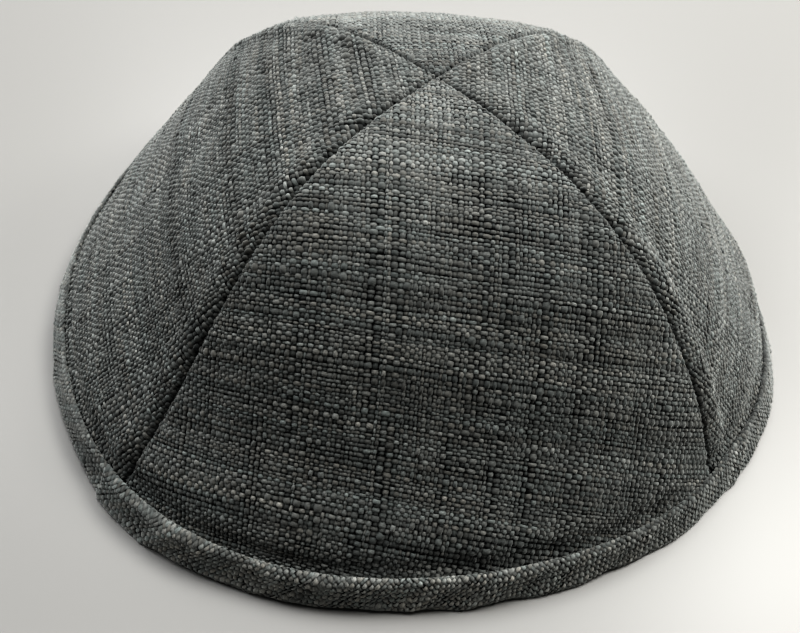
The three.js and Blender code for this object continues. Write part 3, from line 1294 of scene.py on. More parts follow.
def yarn_object(
    name: str,
    points: np.ndarray,
    humps: Humps,
    form: FloatForm,
    seed: int,
    turned_over: bool = False,
) -> bpy.types.Object:
    """Joins all the humps of one piece of cloth into one object, with its maps.

    Args:
        name: The object's name.
        points: One line a hump, one x, y and z a point.
        humps: The humps' colours and places on the yarn.
        form: The hump's form.
        seed: Start of the random places on the yarn.
        turned_over: Whether the flat cloth's upper side faces inwards.

    Returns:
        The object.
    """
    count = len(points)
    quads = form.quads(count)
    if turned_over:
        quads = quads[:, ::-1]
    item = mesh_object(name, points.reshape(-1, 3), quads)
    set_tone(item, humps.colours.reshape(-1, 3))
    start = np.random.default_rng(seed).uniform(0.0, YARN_ON_SPOOL, (count, 1))
    on_yarn = np.stack([humps.along + start, humps.beside], axis=-1).reshape(-1, 2)
    set_map(item, YARN_MAP, on_yarn[quads.ravel()])
    # Each hump has a square of its own in the second map.
    side = math.ceil(math.sqrt(count))
    station, across = np.meshgrid(form.stations, form.sides, indexing="ij")
    inside = (1.0 + CELL_FILL * np.stack([station.ravel(), across.ravel()], axis=-1)) / 2.0
    cell = np.stack([np.arange(count) % side, np.arange(count) // side], axis=-1)
    spread = ((cell[:, None, :] + inside[None, :, :]) / side).reshape(-1, 2)
    set_map(item, BAKE_MAP, spread[quads.ravel()])
    return item


@dataclass(frozen=True)
class YarnFinish:
    """Slubby mixed-fibre yarn, spun from grey staple and woven undyed in the piece.

    It is matt with a soft halo of fibre ends, so edges seen at a slant turn hazy.

    Attributes:
        name: The material's name.
        roughness: How matt it is.
        specular: How much it mirrors.
        sheen: Strength of the halo.
        sheen_roughness: How wide it spreads.
        sheen_colour: Its colour.
        fibre_width: Width of a streak of fibres. Real fibres are finer, about 0.02 mm.
        fibre_length: Length of a streak.
        twist_deg: Slant of the streaks to the thread.
        fibre_range: Values of the noise that make the darkest and the lightest streaks.
        fibre_contrast: How much darker and lighter those are.
        bump_height: How far the streaks stand out.
        bump_strength: How strongly that shows.
    """

    name: str = "spun_grey_melange_yarn"
    roughness: float = 0.78
    specular: float = 0.3
    sheen: float = 1.0
    sheen_roughness: float = 0.45
    sheen_colour: str = "#cfd2d0"
    fibre_width: float = 0.13
    fibre_length: float = 0.78
    twist_deg: float = 24.0
    fibre_range: tuple[float, float] = (0.25, 0.75)
    fibre_contrast: float = 0.28
    bump_height: float = 0.035
    bump_strength: float = 0.7

    def material(self) -> bpy.types.Material:
        """Builds the material: the thread's own grey, streaked by twisted fibres."""
        made, shader = start_material(
            self.name,
            Roughness=self.roughness,
            Specular_IOR_Level=self.specular,
            Sheen_Weight=self.sheen,
            Sheen_Roughness=self.sheen_roughness,
            Sheen_Tint=linear_rgba(self.sheen_colour),
        )
        place = add_node(made, "ShaderNodeUVMap", {"uv_map": YARN_MAP})
        turned = add_node(
            made,
            "ShaderNodeMapping",
            Vector=place.outputs["UV"],
            Rotation=(0.0, 0.0, math.radians(self.twist_deg)),
            Scale=(1.0 / self.fibre_length, 1.0 / self.fibre_width, 1.0),
        )
        fibres = add_node(
            made,
            "ShaderNodeTexNoise",
            {"noise_dimensions": "2D"},
            Vector=turned.outputs["Vector"],
            Scale=1.0,
            Detail=2.0,
            Roughness=0.6,
        )
        streak = add_node(
            made,
            "ShaderNodeMapRange",
            Value=fibres.outputs["Fac"],
            From_Min=self.fibre_range[0],
            From_Max=self.fibre_range[1],
            To_Min=1.0 - self.fibre_contrast,
            To_Max=1.0 + self.fibre_contrast,
        )
        tone = add_node(made, "ShaderNodeVertexColor", {"layer_name": TONE_LAYER})
        colour = add_node(
            made,
            "ShaderNodeVectorMath",
            {"operation": "SCALE"},
            i0=tone.outputs["Color"],
            Scale=streak.outputs["Result"],
        )
        bump = add_node(
            made,
            "ShaderNodeBump",
            Strength=self.bump_strength,
            Distance=self.bump_height * METRES_PER_MM,
            Height=fibres.outputs["Fac"],
        )
        made.node_tree.links.new(colour.outputs["Vector"], shader.inputs["Base Color"])
        made.node_tree.links.new(bump.outputs["Normal"], shader.inputs["Normal"])
        return made


@dataclass(frozen=True)
class ClothGround:
    """The body of the cloth under its raised threads, and its reverse side.

    Under the raised threads it is given near-black colours, painted shade for the deep gaps between
    threads, and the reverse shows the plain weave as a chequer of small soft humps.

    Attributes:
        name: The material's name.
        dark: Colour of its darkest places.
        light: Colour of its lightest.
        pitch: Distance from thread to thread.
        stray: How far the threads stray.
        stray_scale: Steps of the straying to a millimetre.
        streak_scales: Steps of a thread's streaks to a millimetre, along it and across.
        painted_crest_light: How much lighter a thread is painted on its crest, a painted highlight
            with painted shade between the humps.
        darkest_until: Up to this lightness the colour stays dark.
        bump_height: Height of the humps.
        roughness: Roughness of the cloth.
        sheen: Its haze of fibre ends.
        specular: How much it mirrors.
    """

    name: str
    dark: str
    light: str
    pitch: float = 0.86
    stray: float = 0.7
    stray_scale: float = 0.45
    streak_scales: tuple[float, float] = (0.05, 1.16)
    painted_crest_light: float = 0.35
    darkest_until: float = 0.3
    bump_height: float = 0.28
    roughness: float = 0.9
    sheen: float = 0.2
    specular: float = 0.25

    def streaks(
        self, made: bpy.types.Material, place: bpy.types.NodeSocket, scale: tuple[float, float]
    ) -> bpy.types.NodeSocket:
        """Adds the light and dark streaks along one set of threads.

        Args:
            made: The material.
            place: Places on the flat cloth.
            scale: Steps of noise to a millimetre, along the cloth and up it.

        Returns:
            The streaks, from 0 to 1.
        """
        stretched = add_node(made, "ShaderNodeMapping", Vector=place, Scale=(*scale, 1.0))
        noise = add_node(
            made,
            "ShaderNodeTexNoise",
            {"noise_dimensions": "2D"},
            Vector=stretched.outputs["Vector"],
            Scale=1.0,
            Detail=3.0,
        )
        return noise.outputs["Fac"]

    def material(self) -> bpy.types.Material:
        """Builds the material from the cloth's own places, in millimetres."""
        made, shader = start_material(
            self.name,
            Roughness=self.roughness,
            Sheen_Weight=self.sheen,
            Specular_IOR_Level=self.specular,
        )
        place = add_node(made, "ShaderNodeUVMap", {"uv_map": YARN_MAP}).outputs["UV"]
        # Slow noise makes the drawn threads as uneven as the real ones.
        slow = add_node(
            made,
            "ShaderNodeTexNoise",
            {"noise_dimensions": "2D"},
            Vector=place,
            Scale=self.stray_scale,
            Detail=2.0,
        )
        moved = add_node(
            made,
            "ShaderNodeVectorMath",
            {"operation": "MULTIPLY_ADD"},
            i0=slow.outputs["Color"],
            i1=(self.stray, self.stray, 0.0),
            i2=place,
        ).outputs["Vector"]
        scaled = add_node(
            made,
            "ShaderNodeVectorMath",
            {"operation": "SCALE"},
            i0=moved,
            Scale=math.pi / self.pitch,
        )
        parts = add_node(made, "ShaderNodeSeparateXYZ", Vector=scaled.outputs["Vector"])
        # The product of two waves is a chequer, high where one set of threads is on top.
        waves = [math_node(made, "SINE", parts.outputs[axis]) for axis in ("X", "Y")]
        chequer = math_node(made, "MULTIPLY", *waves)
        hump = math_node(made, "ABSOLUTE", chequer)
        shade = add_node(
            made,
            "ShaderNodeMix",
            {"data_type": "FLOAT"},
            Factor=math_node(made, "GREATER_THAN", chequer, 0.0),
            i2=self.streaks(made, moved, self.streak_scales),
            i3=self.streaks(made, moved, self.streak_scales[::-1]),
        )
        # Painted light and shade: each hump is painted lighter on its crest and darker towards the
        # gaps between threads.
        painted_crest_tone = math_node(made, "MULTIPLY_ADD", hump, self.painted_crest_light, shade.outputs[0])
        ramp = add_node(made, "ShaderNodeValToRGB", Fac=painted_crest_tone)
        darkest, lightest = ramp.color_ramp.elements
        darkest.position, lightest.position = self.darkest_until, 1.0
        darkest.color, lightest.color = linear_rgba(self.dark), linear_rgba(self.light)
        bump = add_node(
            made,
            "ShaderNodeBump",
            Strength=1.0,
            Distance=self.bump_height * METRES_PER_MM,
            Height=hump,
        )
        made.node_tree.links.new(ramp.outputs["Color"], shader.inputs["Base Color"])
        made.node_tree.links.new(bump.outputs["Normal"], shader.inputs["Normal"])
        return made


def dress(
    cloth: bpy.types.Object,
    threads: bpy.types.Object,
    yarn: bpy.types.Material,
    grounds: list[bpy.types.Material],
) -> None:
    """Gives a piece's cloth its two ground materials, and its threads the yarn.

    Args:
        cloth: The cloth under the threads.
        threads: The threads.
        yarn: Material of the threads.
        grounds: Materials of the cloth.
    """
    for ground in grounds:
        cloth.data.materials.append(ground)
    threads.data.materials.append(yarn)


@dataclass(frozen=True)
class CrownGore:
    """One gore of the crown: a closed wall of cloth, and the threads raised on it.

    Attributes:
        dome: The crown's face.
        gore: The panel.
        weave: Its cloth.
        columns: How many points the wall has from seam to seam.
        rows: How many it has from hem to top.
        crowding: How much closer together they are beside the seams, from 0 to 1.
        ground_drop: Depth of the wall's outer face under the cloth's middle surface.
        thickness: Depth of its inner face.
        seam_gap: Room between the wall and the seam.
        gap_share_most: The gap is no more than this share of the half width.
        tip_root: Place of the top row.
        hem_height: Height of the bottom row.
        thread_reach: Lowest and highest place along, then up, at which threads are laid.
        threads_from: Height of the lowest crossings.
        threads_past_seam: How far past the seam a crossing may lie.
        dive_past_seam: How much deeper a thread goes for each millimetre past the seam.
        seam_painted_shade: How much darker the yarn is painted at a seam, as painted shade for the
            seam's groove.
        seam_painted_shade_reach: How far that reaches.
    """

    dome: Dome
    gore: Gore
    weave: PlainWeave
    columns: int = 48
    rows: int = 56
    crowding: float = 0.75
    ground_drop: float = 0.4
    thickness: float = 1.4
    seam_gap: float = 0.1
    gap_share_most: float = 0.3
    tip_root: float = 0.003
    hem_height: float = 1.5
    thread_reach: tuple[float, float, float, float] = (-92.0, 92.0, -34.0, 130.0)
    threads_from: float = 5.2
    threads_past_seam: float = 0.2
    dive_past_seam: float = 0.9
    seam_painted_shade: float = 0.18
    seam_painted_shade_reach: float = 0.8

    @cached_property
    def net(self) -> ClothNet:
        """How the flat cloth lies over the dome."""
        return ClothNet(self.dome, self.gore)

    def grid(self) -> tuple[np.ndarray, np.ndarray]:
        """Across and root of the wall's points, closer together beside the seams."""
        turn = np.linspace(-math.pi / 2, math.pi / 2, self.columns)
        across = (1.0 - self.crowding) * turn / (math.pi / 2) + self.crowding * np.sin(turn)
        bottom = float(self.dome.root_at_height(np.array(self.hem_height)))
        across, root = np.meshgrid(across, np.linspace(bottom, self.tip_root, self.rows))
        half_width = self.dome.half_width(self.gore, root)
        gap = np.minimum(self.seam_gap / half_width, self.gap_share_most)
        return across * (1.0 - gap), root

    def build_wall(self) -> bpy.types.Object:
        """Builds the closed wall between the cloth's two faces."""
        across, root = self.grid()
        outer = self.dome.lifted(self.gore, across, root, -self.ground_drop)
        inner = self.dome.lifted(self.gore, across, root, -self.thickness)
        rows, columns = across.shape
        count = rows * columns
        points = np.concatenate([outer.reshape(-1, 3), inner.reshape(-1, 3)])
        faces = grid_quads(rows, columns)
        numbers = np.arange(count).reshape(rows, columns)
        edge = np.concatenate(
            [numbers[0, :-1], numbers[:-1, -1], numbers[-1, :0:-1], numbers[:0:-1, 0]]
        )
        following = np.roll(edge, -1)
        side = np.stack([following, edge, edge + count, following + count], axis=-1)
        quads = np.concatenate([faces, faces[:, ::-1] + count, side])
        item = mesh_object(f"{self.gore.title}_cloth", points, quads)
        flat = self.net.flat_place(across, root).reshape(-1, 2)
        set_map(item, YARN_MAP, np.concatenate([flat, flat])[quads.ravel()])
        side_shown = np.full(len(quads), ClothSide.BETWEEN_THREADS.value, dtype=np.int32)
        side_shown[len(faces) : 2 * len(faces)] = ClothSide.REVERSE.value
        item.data.polygons.foreach_set("material_index", side_shown)
        return item

    def build_threads(self) -> bpy.types.Object:
        """Builds the raised threads, one hump a crossing, wherever the gore has cloth."""
        gore, dome = self.gore, self.dome
        made = self.weave.crossings(
            gore.seed,
            self.thread_reach,
            gore.weft_slope_deg,
            gore.warp_lean_deg,
            gore.thread_stretch,
        )
        up = made.place[:, 1]
        across, root = self.net.on_dome(made.place[:, 0], up)
        from_seam = dome.seam_distance(gore, across, root)
        kept = (
            (from_seam > -self.threads_past_seam)
            & (dome.height * dome.level(root) > self.threads_from)
            & (up > 0.0)
            & (up < self.net.rows[-1])
        )
        # Painted shade: the yarn is darkened where it turns down beside a seam, for the shade in
        # the seam's groove.
        painted_seam_bell = bell(np.maximum(from_seam[kept], 0.0), self.seam_painted_shade_reach)
        humps = self.weave.humps(made.only(kept).lightened(-self.seam_painted_shade * painted_seam_bell))
        across, root = self.net.on_dome(humps.x, humps.y)
        # The cloth turns down into the seam, so what would cross the seam line dives there.
        past = np.maximum(-dome.seam_distance(gore, across, root), 0.0)
        lift = humps.lift - self.dive_past_seam * past
        points = dome.lifted(gore, np.clip(across, -1.0, 1.0), root, lift)
        return yarn_object(f"{gore.title}_threads", points, humps, self.weave.form, gore.seed)

    def build(
        self, yarn: bpy.types.Material, grounds: list[bpy.types.Material]
    ) -> list[bpy.types.Object]:
        """Builds, dresses and places the gore.

        Args:
            yarn: Material of the raised threads.
            grounds: Materials of the cloth, in the order of ClothSide.

        Returns:
            The wall, which stands in the solid's place, and the threads.
        """
        wall, threads = self.build_wall(), self.build_threads()
        dress(wall, threads, yarn, grounds)
        for piece in (wall, threads):
            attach(piece, "root")
        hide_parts(self.gore.node)
        return [wall, threads]


@dataclass(frozen=True)
class PaintedStripLight:
    """A length of the strip with painted light, lighter yarn, or painted shade, darker yarn, that
    evens out how the lamps fall on it.

    Attributes:
        bearing_deg: Where its middle lies round the rim.
        reach_deg: How far it reaches to each side.
        step: How much lighter it is there, negative where it is darker.
    """

    bearing_deg: float
    reach_deg: float
    step: float

    def at(self, bearing_deg: np.ndarray) -> np.ndarray:
        """The change of tone at some bearings, a bell round the rim."""
        return self.step * bell(turn_from(self.bearing_deg, bearing_deg), self.reach_deg)


@dataclass(frozen=True)
class RimBinding:
    """The bias strip folded over the crown's hem, with its overlapping end.

    Its section is a chain of corners, each a height, a distance out from the crown's face
    and the share of the lap's thickness that it takes. A smooth curve passes through the
    woven part of the chain, and the part that holds the hem stays straight. In the strip's
    own flat places, walked is the distance round the rim and around the distance round the
    folded face from its stitched edge.

    Attributes:
        dome: The crown's face.
        weave: The strip's cloth.
        folded_face: The corners of the woven part, from the outer stitched edge down,
            round the fold and up the inside.
        slot_side: The corners of the slot for the hem, as heights and distances out.
        curve_steps: Places on the curve from corner to corner.
        lowest: The fold comes no nearer to the table than this.
        rim_steps: Steps in which the way round the rim is measured.
        rim_height: Height at which it is measured.
        lap_bearing_deg: Where the overlapping end starts.
        lap_step_deg: Over how many degrees it steps up.
        lap_flat_deg: Over how many it has its full thickness.
        lap_fade_deg: Over how many more it fades out.
        lap_thickness: How far it stands out.
        sections: How many sections the ring has, but for those at the lap's step.
        ring_points: How many points the folded face has in each.
        slot_room: Room for each edge of the slot in the cloth's map.
        ground_drop: Depth of the ring's face under the strip's middle surface.
        threads_from: Lowest place around at which a crossing is drawn.
        threads_until: Highest place around.
        threads_over: How far before it the ring's face with painted shade between threads ends.
        threads_before: How far before the strip's corner the threads are laid.
        threads_beyond: How far past its end.
        bias_deg: Slant of the threads to the rim.
        pucker: How far the diagonal ripples go in and out.
        pucker_slant: How far they slant, as distance round the rim for each one around.
        pucker_length: Distance from ripple to ripple.
        pucker_layers: The layers of noise that add up to them, by ripple and around.
        pucker_starts: The places around between which they begin.
        pucker_ends: Those between which they end.
        edge_pressed: The stitched edge is pressed flat up to the first of these places,
            and less and less up to the second.
        fold_flattened: The threads get flatter between these places, where the cap
            stands on them.
        flattening: How much flatter they are, as a share.
        edge_painted_shade: How much darker the pressed edge is painted, as painted shade that tones
            down the light the fold's edge catches.
        painted_light_and_shade: Where the strip has painted light or painted shade.
        seed: Start of its random choices.
    """

    dome: Dome
    weave: PlainWeave
    folded_face: tuple[tuple[float, float, float], ...] = (
        (6.7, 0.0, 0.0),
        (7.25, 0.35, 0.1),
        (7.3, 0.8, 0.5),
        (6.6, 1.15, 1.0),
        (4.0, 1.3, 1.0),
        (1.6, 1.2, 1.0),
        (0.5, 0.8, 0.8),
        (0.15, 0.1, 0.2),
        (0.15, -1.5, 0.0),
        (0.6, -2.25, 0.0),
        (1.6, -2.65, 0.0),
        (4.0, -2.75, 0.0),
        (6.4, -2.65, 0.0),
        (6.9, -2.3, 0.0),
        (6.9, -1.8, 0.0),
    )
    slot_side: tuple[tuple[float, float], ...] = (
        (4.0, -1.75),
        (1.1, -1.75),
        (1.1, 0.0),
        (4.0, 0.0),
    )
    curve_steps: int = 12
    lowest: float = 0.02
    rim_steps: int = 1440
    rim_height: float = 3.0
    lap_bearing_deg: float = -138.3
    lap_step_deg: float = 0.5
    lap_flat_deg: float = 14.0
    lap_fade_deg: float = 12.0
    lap_thickness: float = 0.62
    sections: int = 360
    ring_points: int = 34
    slot_room: float = 2.0
    ground_drop: float = 0.38
    threads_from: float = 0.35
    threads_until: float = 11.2
    threads_over: float = 0.5
    threads_before: float = 9.0
    threads_beyond: float = 20.0
    bias_deg: float = 45.0
    pucker: float = 0.3
    pucker_slant: float = 0.9
    pucker_length: float = 7.0
    pucker_layers: tuple[NoiseLayer, ...] = (
        NoiseLayer(1.0, (1.0, 0.0), (0.0, 1.0 / 9.0)),
        NoiseLayer(0.5, (2.2, 0.0), (0.0, 1.0 / 5.0), (40.0, 0.0)),
    )
    pucker_starts: tuple[float, float] = (0.6, 3.0)
    pucker_ends: tuple[float, float] = (8.5, 10.5)
    edge_pressed: tuple[float, float] = (0.6, 2.6)
    fold_flattened: tuple[float, float] = (6.6, 8.2)
    flattening: float = 0.8
    edge_painted_shade: float = 0.26
    painted_light_and_shade: tuple[PaintedStripLight, ...] = (
        PaintedStripLight(bearing_deg=-8, reach_deg=42, step=-0.2),
        PaintedStripLight(bearing_deg=-98, reach_deg=34, step=0.2),
    )
    seed: int = 71

    def lap_share(self, bearing_deg: np.ndarray) -> np.ndarray:
        """How much of the overlapping end lies at a bearing, from 0 to 1.

        Args:
            bearing_deg: Place round the rim.

        Returns:
            The share of its thickness at each place.
        """
        past = (bearing_deg - self.lap_bearing_deg) % FULL_TURN_DEG
        step_up = np.clip(past / self.lap_step_deg, 0.0, 1.0)
        fade = smooth_step(past, self.lap_flat_deg, self.lap_flat_deg + self.lap_fade_deg)
        return step_up * (1.0 - fade)

    @cached_property
    def folded_curve(self) -> tuple[np.ndarray, np.ndarray]:
        """Distances round the folded face and its corners, on a smooth curve.

        Between two corners p1 and p2 the curve is the usual cubic with the directions
        (p2 - p0) / 2 and (p3 - p1) / 2 at its ends.
        """
        corners = np.array(self.folded_face)
        ends = 2 * corners[0] - corners[1], 2 * corners[-1] - corners[-2]
        corners = np.vstack([ends[0], corners, ends[1]])
        t = np.linspace(0.0, 1.0, self.curve_steps, endpoint=False)[None, :, None]
        p0, p1, p2, p3 = (corners[i : len(corners) - 3 + i, None, :] for i in range(4))
        curve = p1 + t * (p2 - p0) / 2
        curve = curve + t**2 * (p0 - 2.5 * p1 + 2 * p2 - 0.5 * p3)
        curve = curve + t**3 * (1.5 * p1 - 1.5 * p2 + 0.5 * p3 - 0.5 * p0)
        curve = np.vstack([curve.reshape(-1, 3), corners[-2]])
        steps = np.linalg.norm(np.diff(curve[:, :2], axis=0), axis=-1)
        return np.concatenate([[0.0], np.cumsum(steps)]), curve

    @cached_property
    def rim_lengths(self) -> tuple[np.ndarray, np.ndarray]:
        """Bearings round the rim, and the distance walked to each."""
        bearings = np.linspace(0.0, FULL_TURN_DEG, self.rim_steps + 1)
        points = self.dome.rim_point(bearings, np.array(self.rim_height))
        steps = np.linalg.norm(np.diff(points, axis=0), axis=-1)
        return bearings, np.concatenate([[0.0], np.cumsum(steps)])

    def ripples(self, bearing_deg: np.ndarray, around: np.ndarray) -> np.ndarray:
        """How far the diagonal ripples pull the outer face in and out.

        Args:
            bearing_deg: Place round the rim.
            around: Distance round the folded face.

        Returns:
            The offset at each place, negative where it goes in.
        """
        walked = np.interp(bearing_deg % FULL_TURN_DEG, *self.rim_lengths)
        ripple = (walked + self.pucker_slant * around) / self.pucker_length
        noise = SoftNoise(self.seed)
        wave = sum(layer.at(noise, ripple, around) for layer in self.pucker_layers)
        inside = smooth_step(around, *self.pucker_ends)
        return self.pucker * wave * smooth_step(around, *self.pucker_starts) * (1.0 - inside)

    def surface(
        self, bearing_deg: np.ndarray, around: np.ndarray, lift: np.ndarray
    ) -> np.ndarray:
        """Points over the folded face.

        The corner's height and outward distance are read off the curve and carried to
        the crown's face at that bearing. The lift follows the section's own outward
        direction, with the ripples and the lap added to it.

        Args:
            bearing_deg: Place round the rim.
            around: Distance round the folded face, from the stitched edge.
            lift: Height above the folded face.

        Returns:
            The points.
        """
        known, curve = self.folded_curve
        height, outward, lap = (np.interp(around, known, curve[:, axis]) for axis in range(3))
        slopes = unit(np.gradient(curve[:, :2], known, axis=0))
        rising, going_out = (np.interp(around, known, slopes[:, axis]) for axis in range(2))
        lift = lift + self.ripples(bearing_deg, around)
        lift = lift + self.lap_thickness * self.lap_share(bearing_deg) * lap
        height = np.maximum(height + lift * going_out, self.lowest)
        point = self.dome.rim_point(bearing_deg, height)
        outward = outward + self.dome.sway(point) - lift * rising
        return point + away_from_axis(point) * outward[..., None]

    def slot_points(self, bearing_deg: np.ndarray) -> np.ndarray:
        """The corners of the slot for the hem, in one section a bearing.

        Args:
            bearing_deg: The sections' bearings.

        Returns:
            x, y and z by section and corner.
        """
        corners = []
        for height, outward in self.slot_side:
            point = self.dome.rim_point(bearing_deg, np.array(height))
            outward = outward + self.dome.sway(point)
            corners.append(point + away_from_axis(point) * outward[:, None])
        return np.stack(corners, axis=1)

    def flat_corners(self, bearing_deg: np.ndarray, around: np.ndarray, size: int) -> np.ndarray:
        """The flat places of the ring's face corners, turned so that the weave is slanted.

        Args:
            bearing_deg: The ring's sections.
            around: Places around of the folded face's points.
            size: How many points a section has in all.

        Returns:
            Two numbers a face corner, in the faces' order.
        """
        rim_bearings, rim_walked = self.rim_lengths
        walked = np.append(np.interp(bearing_deg, rim_bearings, rim_walked), rim_walked[-1])
        past_face = self.slot_room * np.arange(1, size - len(around) + 2)
        flat_around = np.append(around, around[-1] + past_face)
        walked, flat_around = np.meshgrid(walked, flat_around, indexing="ij")
        slant = math.radians(self.bias_deg)
        along = walked * math.cos(slant) + flat_around * math.sin(slant)
        up = flat_around * math.cos(slant) - walked * math.sin(slant)
        flat = np.stack([along, up], axis=-1)
        return np.stack([flat[:-1, :-1], flat[:-1, 1:], flat[1:, 1:], flat[1:, :-1]], axis=-2)

    def build_core(self) -> bpy.types.Object:
        """Builds the closed ring under the raised threads."""
        bearing = np.linspace(0.0, FULL_TURN_DEG, self.sections, endpoint=False)
        lap_step = np.array([0.0, 0.5, 1.0]) * self.lap_step_deg
        lap_step = self.lap_bearing_deg % FULL_TURN_DEG + lap_step
        bearing = np.sort(np.concatenate([bearing, lap_step]))
        around = np.linspace(0.0, self.folded_curve[0][-1], self.ring_points)
        b, a = np.meshgrid(bearing, around, indexing="ij")
        folded = self.surface(b, a, np.full(a.shape, -self.ground_drop))
        ring = np.concatenate([folded, self.slot_points(bearing)], axis=1)
        sections, size, _ = ring.shape
        number = np.arange(sections * size).reshape(sections, size)
        onward, beside = np.roll(number, -1, axis=0), np.roll(number, -1, axis=1)
        quads = np.stack([number, beside, np.roll(onward, -1, axis=1), onward], axis=-1)
        side_shown = np.full((sections, size), ClothSide.REVERSE.value, dtype=np.int32)
        covered = np.flatnonzero(around <= self.threads_until - self.threads_over)
        side_shown[:, covered] = ClothSide.BETWEEN_THREADS.value
        corners = self.flat_corners(bearing, around, size)
        item = mesh_object("rim_binding_cloth", ring.reshape(-1, 3), quads.reshape(-1, 4))
        set_map(item, YARN_MAP, corners.reshape(-1, 2))
        item.data.polygons.foreach_set("material_index", side_shown.ravel())
        return item

    def build_threads(self) -> bpy.types.Object:
        """Builds the raised threads of the outer face, which run at a slant to the rim."""
        bearings, lengths = self.rim_lengths
        whole, bias = lengths[-1], self.bias_deg
        last = (whole + self.threads_beyond) * math.cos(math.radians(bias))
        reach = (-self.threads_before, last, -self.threads_before, last)
        made = self.weave.crossings(self.seed, reach, bias, bias)
        walked, around = made.place.T
        on_strip = (walked > 0.0) & (walked < whole)
        made = made.only(on_strip & (around > self.threads_from) & (around < self.threads_until))
        walked, around = made.place.T
        # Along the stitched edge the fold is pressed flat, and its yarn gets painted shade that
        # tones down the light the edge catches.
        pressed = 1.0 - smooth_step(around, *self.edge_pressed)
        made = made.lightened(-self.edge_painted_shade * pressed)
        # Painted light and shade: the strip's yarn is lightened in front and darkened at the right,
        # evening out the lamps.
        bearing = np.interp(walked, lengths, bearings)
        made = made.lightened(sum(shade.at(bearing) for shade in self.painted_light_and_shade))
        humps = self.weave.humps(made)
        flattened = np.maximum(pressed, smooth_step(around, *self.fold_flattened))
        lift = humps.lift * (1.0 - self.flattening * flattened)[:, None]
        bearing = np.interp(humps.x % whole, lengths, bearings)
        points = self.surface(bearing, humps.y, lift)
        form, name = self.weave.form, "rim_binding_threads"
        return yarn_object(name, points, humps, form, self.seed, turned_over=True)

    def build(
        self, yarn: bpy.types.Material, grounds: list[bpy.types.Material]
    ) -> list[bpy.types.Object]:
        """Builds, dresses and places the strip.

        Args:
            yarn: Material of the raised threads.
            grounds: Materials of the cloth, in the order of ClothSide.

        Returns:
            The ring, which stands in the solid's place, and the threads.
        """
        core, threads = self.build_core(), self.build_threads()
        dress(core, threads, yarn, grounds)
        for piece in (core, threads):
            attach(piece, "root")
        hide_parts("rim_binding")
        return [core, threads]


@dataclass(frozen=True)
class TableTop:
    """A pale laminated table top, smooth enough for a faint broad gleam.

    Attributes:
        half_side: Half the length of its side.
        colour: Its colour.
        roughness: How matt it is.
        specular: How much it mirrors.
    """

    half_side: float = 2500.0
    colour: str = "#989795"
    roughness: float = 0.34
    specular: float = 0.4

    def build(self) -> bpy.types.Object:
        """Builds the flat top."""
        reach = self.half_side
        corners = [(-reach, -reach, 0), (reach, -reach, 0), (reach, reach, 0), (-reach, reach, 0)]
        top = mesh_object("table_top", np.array(corners, float), np.array([[0, 1, 2, 3]]))
        laminate, _ = start_material(
            "pale_laminate",
            Base_Color=linear_rgba(self.colour),
            Roughness=self.roughness,
            Specular_IOR_Level=self.specular,
        )
        top.data.materials.append(laminate)
        return top


@dataclass(frozen=True)
class Softbox:
    """One square lamp that faces the crown's middle.

    Attributes:
        title: Its name.
        place: Where it hangs.
        side: Length of its side.
        watts: Its power.
        colour: The colour of its light.
        aim_height: Height over the table at which it is aimed.
    """

    title: str
    place: tuple[float, float, float]
    side: float
    watts: float
    colour: str = "#ffffff"
    aim_height: float = 30.0

    def build(self) -> None:
        """Hangs the lamp, turned to the crown's middle."""
        lamp = bpy.data.lights.new(self.title, "AREA")
        lamp.size = self.side * METRES_PER_MM
        lamp.energy = self.watts
        lamp.color = linear_rgba(self.colour)[:3]
        item = bpy.data.objects.new(self.title, lamp)
        item.location = Vector(self.place) * METRES_PER_MM
        aim = Vector((0.0, 0.0, self.aim_height)) * METRES_PER_MM - item.location
        item.rotation_euler = aim.to_track_quat("-Z", "Y").to_euler()
        bpy.context.scene.collection.objects.link(item)


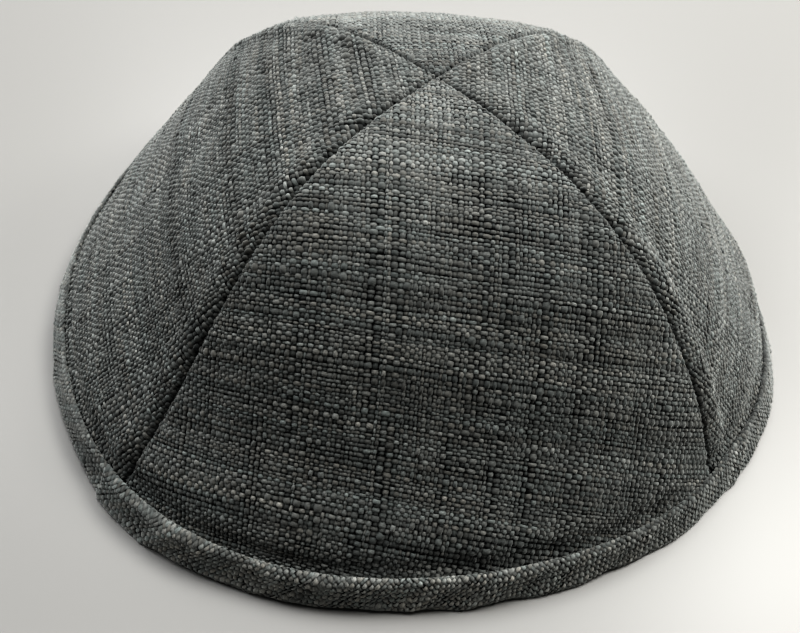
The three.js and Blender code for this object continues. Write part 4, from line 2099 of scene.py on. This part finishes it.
@dataclass(frozen=True)
class Studio:
    """The camera above the front, and soft light from above and behind.

    Attributes:
        target: The point that the camera looks at.
        distance: Distance from it to the camera.
        azimuth: Bearing of the camera from the front, in radians.
        elevation: How steeply it looks down, in radians.
        roll: How far it is turned about its line of sight, in radians.
        lens: Focal length.
        sensor: Width of the picture behind the lens.
        nearest: What is nearer to the camera than this isn't seen.
        world_colour: Colour of the room's even light.
        world_strength: Its strength.
        view_transform: How light becomes colour in the picture.
        look: The picture's contrast.
        lamps: The lamps.
    """

    target: tuple[float, float, float] = (-6.262, -33.25, 25.0)
    distance: float = 167.579
    azimuth: float = -0.12
    elevation: float = 0.881
    roll: float = 0.103
    lens: float = 38.25
    sensor: float = 36.0
    nearest: float = 10.0
    world_colour: str = "#d3d5d5"
    world_strength: float = 0.04
    view_transform: str = "Standard"
    look: str = "High Contrast"
    lamps: tuple[Softbox, ...] = (
        Softbox("ceiling", (40.0, 590.0, 860.0), side=700.0, watts=10.0),
        Softbox("window_behind_right", (485.0, 215.0, 750.0), 300.0, 4.7, "#fffefa"),
        Softbox("low_window_right", (760.0, 420.0, 400.0), 420.0, 3.7, "#fffefa"),
        Softbox("window_behind_left", (-650.0, 330.0, 560.0), 450.0, 2.7, "#fdfeff"),
    )

    def camera(self) -> None:
        """Places the camera at the end of its line of sight, rolled about it."""
        c, s = math.cos(self.elevation), math.sin(self.elevation)
        back = Vector((math.sin(self.azimuth) * c, -math.cos(self.azimuth) * c, s))
        right = Vector((math.cos(self.azimuth), math.sin(self.azimuth), 0.0))
        up = back.cross(right)
        turned = right * math.cos(self.roll) + up * math.sin(self.roll)
        upright = up * math.cos(self.roll) - right * math.sin(self.roll)
        shift = Vector((*FOOTPRINT_CENTRE, 0.0))
        place = (Vector(self.target) + back * self.distance - shift) * METRES_PER_MM
        matrix = Matrix((turned, upright, back)).transposed().to_4x4()
        matrix.translation = place
        data = bpy.data.cameras.new("camera")
        data.lens, data.sensor_width = self.lens, self.sensor
        data.clip_start = self.nearest * METRES_PER_MM
        item = bpy.data.objects.new("camera", data)
        item.matrix_world = matrix
        bpy.context.scene.collection.objects.link(item)
        bpy.context.scene.camera = item

    def light(self) -> None:
        """Sets the picture's contrast and the even room light, and hangs the lamps."""
        bpy.context.scene.view_settings.view_transform = self.view_transform
        bpy.context.scene.view_settings.look = self.look
        world = bpy.data.worlds.new("room")
        world.use_nodes = True
        sky = world.node_tree.nodes["Background"]
        sky.inputs["Color"].default_value = linear_rgba(self.world_colour)
        sky.inputs["Strength"].default_value = self.world_strength
        bpy.context.scene.world = world
        for lamp in self.lamps:
            lamp.build()


def main() -> None:
    """Builds the kippah, the table and the light, and logs each piece's number of faces."""
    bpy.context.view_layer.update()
    studio = Studio()
    studio.camera()
    studio.light()

    pieces = [TableTop().build()]
    dome = Dome()
    yarn = YarnFinish().material()
    grounds = [
        # The cloth between the raised threads is painted near-black, painted shade for the deep
        # gaps between them.
        ClothGround("woven_cloth_between_threads", "#0d0f10", "#1d2022").material(),
        ClothGround("woven_cloth_reverse", "#24282a", "#83878a").material(),
    ]
    for gore in GORES:
        pieces += CrownGore(dome, gore, PlainWeave()).build(yarn, grounds)
    bias_weave = PlainWeave(
        warps=ThreadSet(pitch=0.8, unevenness=0.14, slub_share=0.0),
        wefts=ThreadSet(pitch=0.76, unevenness=0.14, slub_share=0.0),
        tone_middle=0.74,
    )
    pieces += RimBinding(dome, bias_weave).build(yarn, grounds)
    for piece in pieces:
        LOG.info("%s: %d faces", piece.name, len(piece.data.polygons))


if __name__ == "__main__":
    main()
